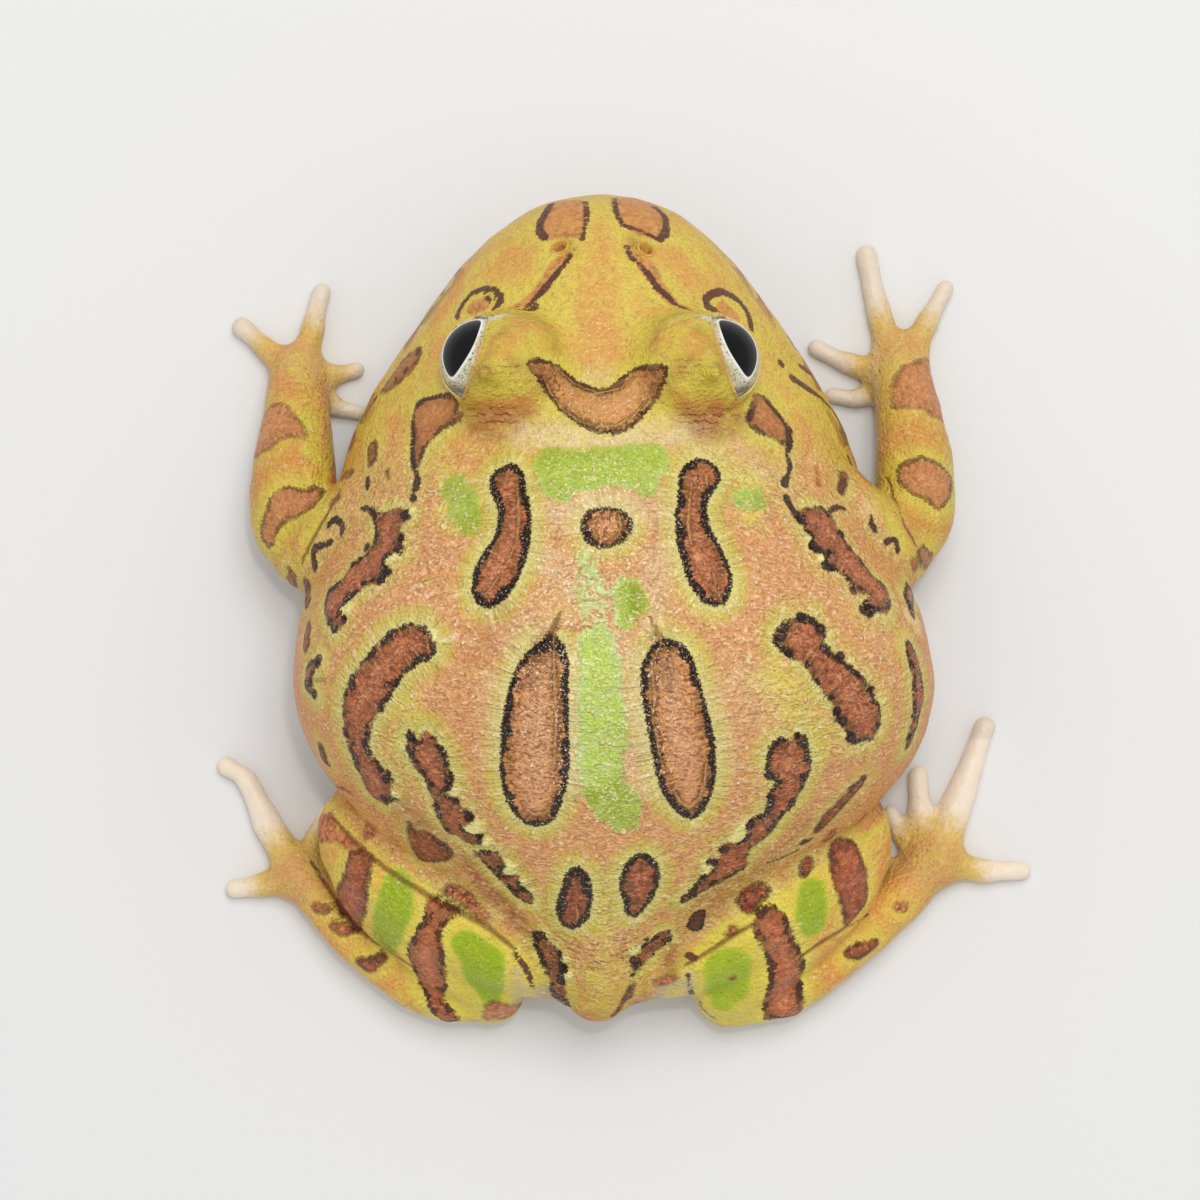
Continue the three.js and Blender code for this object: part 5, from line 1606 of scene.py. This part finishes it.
    # Pustules: pale dots of uneven size, thicker on the flanks, and tiny dark pores
    dots, holes = f.cells(1.8), f.cells(0.9)
    crowd = f.noise(3.1) + grains * 0.16
    bumpy = f.step(0.35, 0.9, rugged).most(grains * 0.8)
    pustule = f.fade(0.1, 0.26, dots + fine_sway * 0.16) * f.step(0.42, 0.54, crowd) * bumpy
    granule = f.fade(0.05, 0.5, holes)
    pore = f.fade(0.09, 0.16, holes) * f.mark("pores") * f.step(0.44, 0.5, medium)
    ground = f.over(
        ground,
        ((248, 224, 164), pustule * 0.8),
        ((252, 226, 172), granule * (0.22 + grains * 0.3) * (fine * 2.4 - 0.5) * rugged),
        ((96, 84, 24), pore * 0.7),
    )

    # Inside a marking: mottled brown, an olive band within the rim, painted highlights on its bumps and painted shade
    # in its grooves
    tone = f.mark("tone") + medium_sway * 0.9 + small_sway * 0.6
    umber = f.step(0.47, 0.62, small * 0.6 + f.noise(1.1) * 0.4) * (1 - f.step(0.8, 3.0, edge) * 0.8)
    olive = f.fade(0.7, 2.1, edge) * rim_strength * f.step(0.34, 0.56, f.noise(3.0))
    deep = f.step(1.4, 3.2, edge + small_sway * 1.6) * (1 - tone) * rim_strength
    fill = f.over(
        f.mix((220, 152, 88), (192, 110, 68), tone * 2),
        ((154, 70, 44), tone * 2 - 1),
        ((108, 56, 28), umber * 0.85 * (0.35 + rugged * 0.65)),
        ((132, 88, 42), olive * 0.75),
        ((224, 166, 126), deep * 0.7),
        ((240, 184, 140), crest_highlight * (0.52 - tone * 0.2)),
        ((104, 48, 26), groove_shade * 0.45),
        ((208, 160, 84), face * 0.35),
        ((216, 154, 98), f.mark("foreleg") * 0.4),
        ((104, 64, 32), rust_and_shade * (0.5 + small_sway * 1.4)),
    )

    # Dark rims and inked lines, with painted rosy highlights and small painted glints on them
    dark = f.mix((84, 42, 30), (28, 13, 9), f.step(0.4, 0.8, rugged))
    # Painted highlight: the dark rim turns rosy brown on its beads
    soot_and_highlight = f.mix(dark, (128, 80, 60), f.step(0.54, 0.66, rays * 0.5 + fine * 0.5) * 0.7)
    rim_glint = rim * f.step(0.57, 0.62, fine * 0.5 + grit * 0.5) * f.step(0.5, 0.9, rugged)
    blot = ink + (rays - 0.5) * 0.5 + medium_sway * 0.5 + fine_sway * 0.7
    color = f.over(
        f.mix(ground, fill, inside),
        (soot_and_highlight, rim * 0.97),
        ((224, 196, 180), rim_glint * 0.6),
        (f.mix(soot_and_highlight, (104, 54, 42), f.step(0.25, 0.6, blot) * 0.6), f.step(-0.14, 0.1, blot) * 0.95),
    )

    # Creases: a pale raised line between two dark lines of painted shadow; folds: one dark line of painted shade
    def line(name, sharp_from, sharp_to):
        across = abs(f.mark(name) + fine_sway * 0.2)
        width = f.mark(name + "_width")
        return f.fade(sharp_from, sharp_to, across / (width + 0.02)) * f.step(0.02, 0.06, width)

    crease_shadow = line("crease", 0.9, 3.0)
    on_crease = line("crease", 0.1, 1.3)
    faded = 0.35 + f.step(0.42, 0.58, small) * 0.65
    fold = line("fold", 0.3, 3.2)

    # Level wrinkles, and blotches low on the flanks
    phase = f.mark("phase") + small_sway * 1.2
    beat = phase.math("FRACT", phase)
    wrinkle = f.step(0.34, 0.48, abs(beat - 0.5)) * f.mark("wrinkles") * f.step(0.4, 0.52, medium)
    clouds = f.noise(4.2, 1.0)
    blotch = f.step(0.53, 0.58, clouds + small_sway * 0.12) * f.mark("flank")

    # Thin pale skin of the digits, the white beside the eyes, and painted wet glints
    streaky = pale + medium_sway * 0.5 + small_sway * 0.3
    flesh = f.mix((218, 184, 104), f.mix((226, 210, 196), (234, 224, 212), medium), f.step(0.3, 0.95, streaky))
    sclera = f.mix((226, 222, 200), (140, 126, 80), f.step(0.54, 0.66, fine))
    painted_glint = f.step(0.6, 0.67, fine * 0.45 + grit * 0.4 + small * 0.15 + wet * 0.045) * (0.3 + wet * 0.5)
    color = f.over(
        color,
        ((104, 58, 28), crease_shadow * faded * 0.6),
        ((216, 168, 104), on_crease * faded * 0.8),
        ((110, 56, 30), fold * 0.75),
        ((128, 66, 32), wrinkle * 0.75),
        (f.mix((98, 50, 38), (156, 88, 62), f.step(0.58, 0.66, clouds)), blotch * 0.85),
        ((224, 208, 188), f.mark("belly")),
        (flesh, f.step(0.0, 0.4, streaky * f.step(0.0, 0.1, pale)) * 0.95),
        ((84, 48, 30), f.mark("mouth") * 0.75),
        (sclera, f.mark("white")),
        ((255, 240, 216), painted_glint * (rugged * 0.6 + wet * 0.4)),
    )

    # Painted shade: steep skin, turned away from the light above, is darkened and warmed; painted light: the legs
    # behind are a little lighter
    level_tint, steep_tint = (0.99, 0.98, 0.91, 1), (0.94, 0.79, 0.48, 1)
    tint = f.node("ShaderNodeMix", {"data_type": "RGBA"}, {0: f.mark("steep_shade"), 6: level_tint, 7: steep_tint}, 2)
    color = f.node("ShaderNodeVectorMath", {"operation": "MULTIPLY"}, {0: color, 1: tint})
    # Grain: random tone, with a little painted highlight on the crests and painted shade in the grooves
    grain = fine_sway * 0.5 + (grit - 0.5) * 0.4 + crest_highlight * 0.06 - groove_shade * 0.1
    f.feed("Base Color", f.scale(color, 1 + f.mark("hind_leg_lit") * 0.16 + grain * (1 - pale * 0.85)))
    f.feed("Roughness", 0.32 - rim * 0.1 - wet * 0.14 + fine_sway * 0.16 + pale * 0.1)
    ridges = ridge * (0.4 + beside * 0.12) * rugged * rugged
    height = (
        (ridges + medium * 0.5 + small * 0.2 + granule * 0.14 + fine * 0.2 + grit * 0.1)
        * (1 - pale * 0.8) + pustule * 0.25 + inside * rim_strength * 0.2
        + rim * (rays * 0.5 + fine * 0.3) + on_crease * 0.2 - crease_shadow * 0.15 - fold * 0.2 - wrinkle * 0.12
    )
    f.bump(height)
    return f.material


def eye_finish():
    """A wet ball: black level pupil, silvery iris with fine dark veins, olive towards the lid, blue-grey corner."""
    f = Finish("wet_eye", Roughness=0.12, Specular_IOR_Level=0.2, Coat_Weight=0.1, Coat_Roughness=0.03)
    veins, cloud, pupil = f.noise(0.35, 4.0), f.noise(1.4), f.mark("pupil")
    ring = f.step(-0.45, -0.15, pupil)
    f.feed("Base Color", f.over(
        f.mix((214, 210, 186), (240, 238, 230), ring),
        ((84, 80, 60), f.step(0.53, 0.62, veins) * 0.85 * (1 - ring)),
        ((176, 162, 92), f.mark("lidward") * f.step(0.4, 0.6, cloud) * 0.6),
        ((96, 86, 82), f.mark("corner") * 0.8),
        ((150, 196, 196), f.mark("tear")),
        ((6, 7, 12), f.step(-0.05, 0.06, pupil)),
    ))
    return f.material


# Studio

def add_camera():
    """Straight above the frog as in the photograph, with the lens that fits the frame's width to its distance."""
    data = bpy.data.cameras.new("camera")
    data.sensor_width = 36
    data.sensor_fit = "HORIZONTAL"
    data.lens = data.sensor_width / 2 / (FRAME_WIDTH / 2 / CAMERA_REACH)
    data.clip_start = 0.01
    camera = bpy.data.objects.new("camera", data)
    camera.location = (np.array([0, 0, CAMERA_HEIGHT]) + SHIFT) / 1000
    camera.rotation_euler = (0, 0, math.pi)
    bpy.context.scene.collection.objects.link(camera)
    bpy.context.scene.camera = camera


def add_floor():
    """A wide plain ground under the frog, light grey and dull."""
    material = bpy.data.materials.new("floor")
    material.use_nodes = True
    shader = material.node_tree.nodes["Principled BSDF"]
    shader.inputs["Base Color"].default_value = (0.8, 0.8, 0.8, 1)
    shader.inputs["Roughness"].default_value = 0.9
    size = 2.5
    mesh = bpy.data.meshes.new("floor")
    mesh.from_pydata([(-size, -size, 0), (size, -size, 0), (size, size, 0), (-size, size, 0)], [], [(0, 1, 2, 3)])
    mesh.materials.append(material)
    floor = bpy.data.objects.new("floor", mesh)
    bpy.context.scene.collection.objects.link(floor)


def add_light(name, place, size, power):
    """A square softbox that looks at the frog."""
    data = bpy.data.lights.new(name, "AREA")
    data.shape = "SQUARE"
    data.size = size
    data.energy = power
    light = bpy.data.objects.new(name, data)
    light.location = place
    light.rotation_euler = (Vector((0, 0, 0.02)) - Vector(place)).to_track_quat("-Z", "Y").to_euler()
    bpy.context.scene.collection.objects.link(light)


def add_world():
    """Even white light from all round, and colours shown as they are."""
    world = bpy.data.worlds.new("studio")
    world.use_nodes = True
    back = world.node_tree.nodes["Background"]
    back.inputs["Color"].default_value = (1, 1, 1, 1)
    back.inputs["Strength"].default_value = 0.66
    bpy.context.scene.world = world
    bpy.context.scene.view_settings.view_transform = "Standard"


# Pieces

def add_lid_edges(word, side):
    """The two wet edges of an eye's lids, coloured like the skin nearest to them."""
    for which, part in enumerate(("upper", "lower")):
        verts, faces = lid_edge(side, which)
        piece = new_mesh(f"{part}_lid_edge_{word}", verts, outward_faces(verts, faces), skin_look)
        values = nearest_marks(skin_marks, skin_verts, verts)
        values["patch"][:] = OUTSIDE
        values["warm"][:] = (0.5, 0.1)[which]
        values["cream_and_sheen"][:] = (0.5, 1.2)[which]
        dress(piece, values)


def add_nostril(word, chain, normal):
    """A nostril on its spot of the skin, with painted shade down in the pit."""
    spot = chain[0, :3]
    verts, faces = crater(spot, normal, chain[1, :3] - spot)
    piece = new_mesh(f"nostril_{word}", verts, outward_faces(verts, faces), skin_look)
    values = nearest_marks(skin_marks, skin_verts, verts)
    values["patch"][:] = OUTSIDE
    values["warm"][:] = 1
    values["rust_and_shade"] = 0.85 * fade(-0.6, 0.05, (verts - spot) @ normal)
    dress(piece, values)


def add_eyeball(word, side):
    """The ball of an eye. Its pupil is an oval in the angles sideways and upright from the way it faces."""
    rings, around = 62, 96
    eye = mirrored(EYE_CENTRE, side)
    verts = ball_rings(eye, unit(mirrored(EYE_LOOK, side)), EYE_RADIUS, rings, around)
    ball = new_mesh(f"eyeball_{word}", verts, outward_faces(verts, pole_faces(rings, around)), eye_finish())
    out = (verts - eye) / EYE_RADIUS
    facing = unit(mirrored(PUPIL_AHEAD, side))
    upward = unit(np.cross(mirrored(PUPIL_LONG, side), facing))
    level = np.cross(upward, facing)
    sideways, upright = (np.degrees(np.arctan2(out @ way, out @ facing)) for way in (level, upward))
    oval = np.sqrt((sideways / PUPIL_LEVEL) ** 2 + (upright / PUPIL_UPRIGHT) ** 2)
    from_rear = np.linalg.norm(out - mirrored(LID_REAR, side) / EYE_RADIUS, axis=1) * EYE_RADIUS
    (upper, _), corner = lid_planes(side)
    eye_marks = {
        "pupil": (1 - oval) * 2.7,
        "corner": fade(1.6, 3.4, from_rear),
        "tear": fade(0.7, 1.3, from_rear),
        "lidward": fade(0.3, 1.6, (verts - eye - corner) @ upper),
    }
    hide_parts(f"eye_{word}")
    dress(ball, eye_marks)


add_camera()
add_floor()
add_world()
add_light("key", (-0.12, -0.36, 0.85), 0.44, 2.9)
add_light("glint", (-0.06, -0.14, 0.95), 0.06, 1.0)

skin_look = skin_finish()
skin_verts, skin_quads = skin_mesh(SKIN_CELL)
skin_normals = vertex_normals(skin_verts, skin_quads)
skin_marks = body_marks(skin_verts, skin_normals)
raised = raise_skin(skin_verts, skin_normals, skin_marks)
nostrils = lifted_bands(NOSTRILS)
nostril_normals = []
for chain in nostrils:
    # The skin goes in under each nostril, to make room for its pit
    from_spot = np.linalg.norm(skin_verts - chain[0, :3], axis=1)
    nostril_normals.append(unit(skin_normals[from_spot < NOSTRIL_HALF_LENGTH].mean(0)))
    raised -= skin_normals * (1.3 * fade(0.5, 1.1, from_spot))[:, None]
skin = new_mesh("skin", raised, skin_quads, skin_look)
flesh = [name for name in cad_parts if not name.startswith("eye_")]
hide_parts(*flesh)
dress(skin, skin_marks)

for word, side, chain, normal in zip(("left", "right"), (1, -1), nostrils, nostril_normals):
    add_lid_edges(word, side)
    add_nostril(word, chain, normal)
    add_eyeball(word, side)
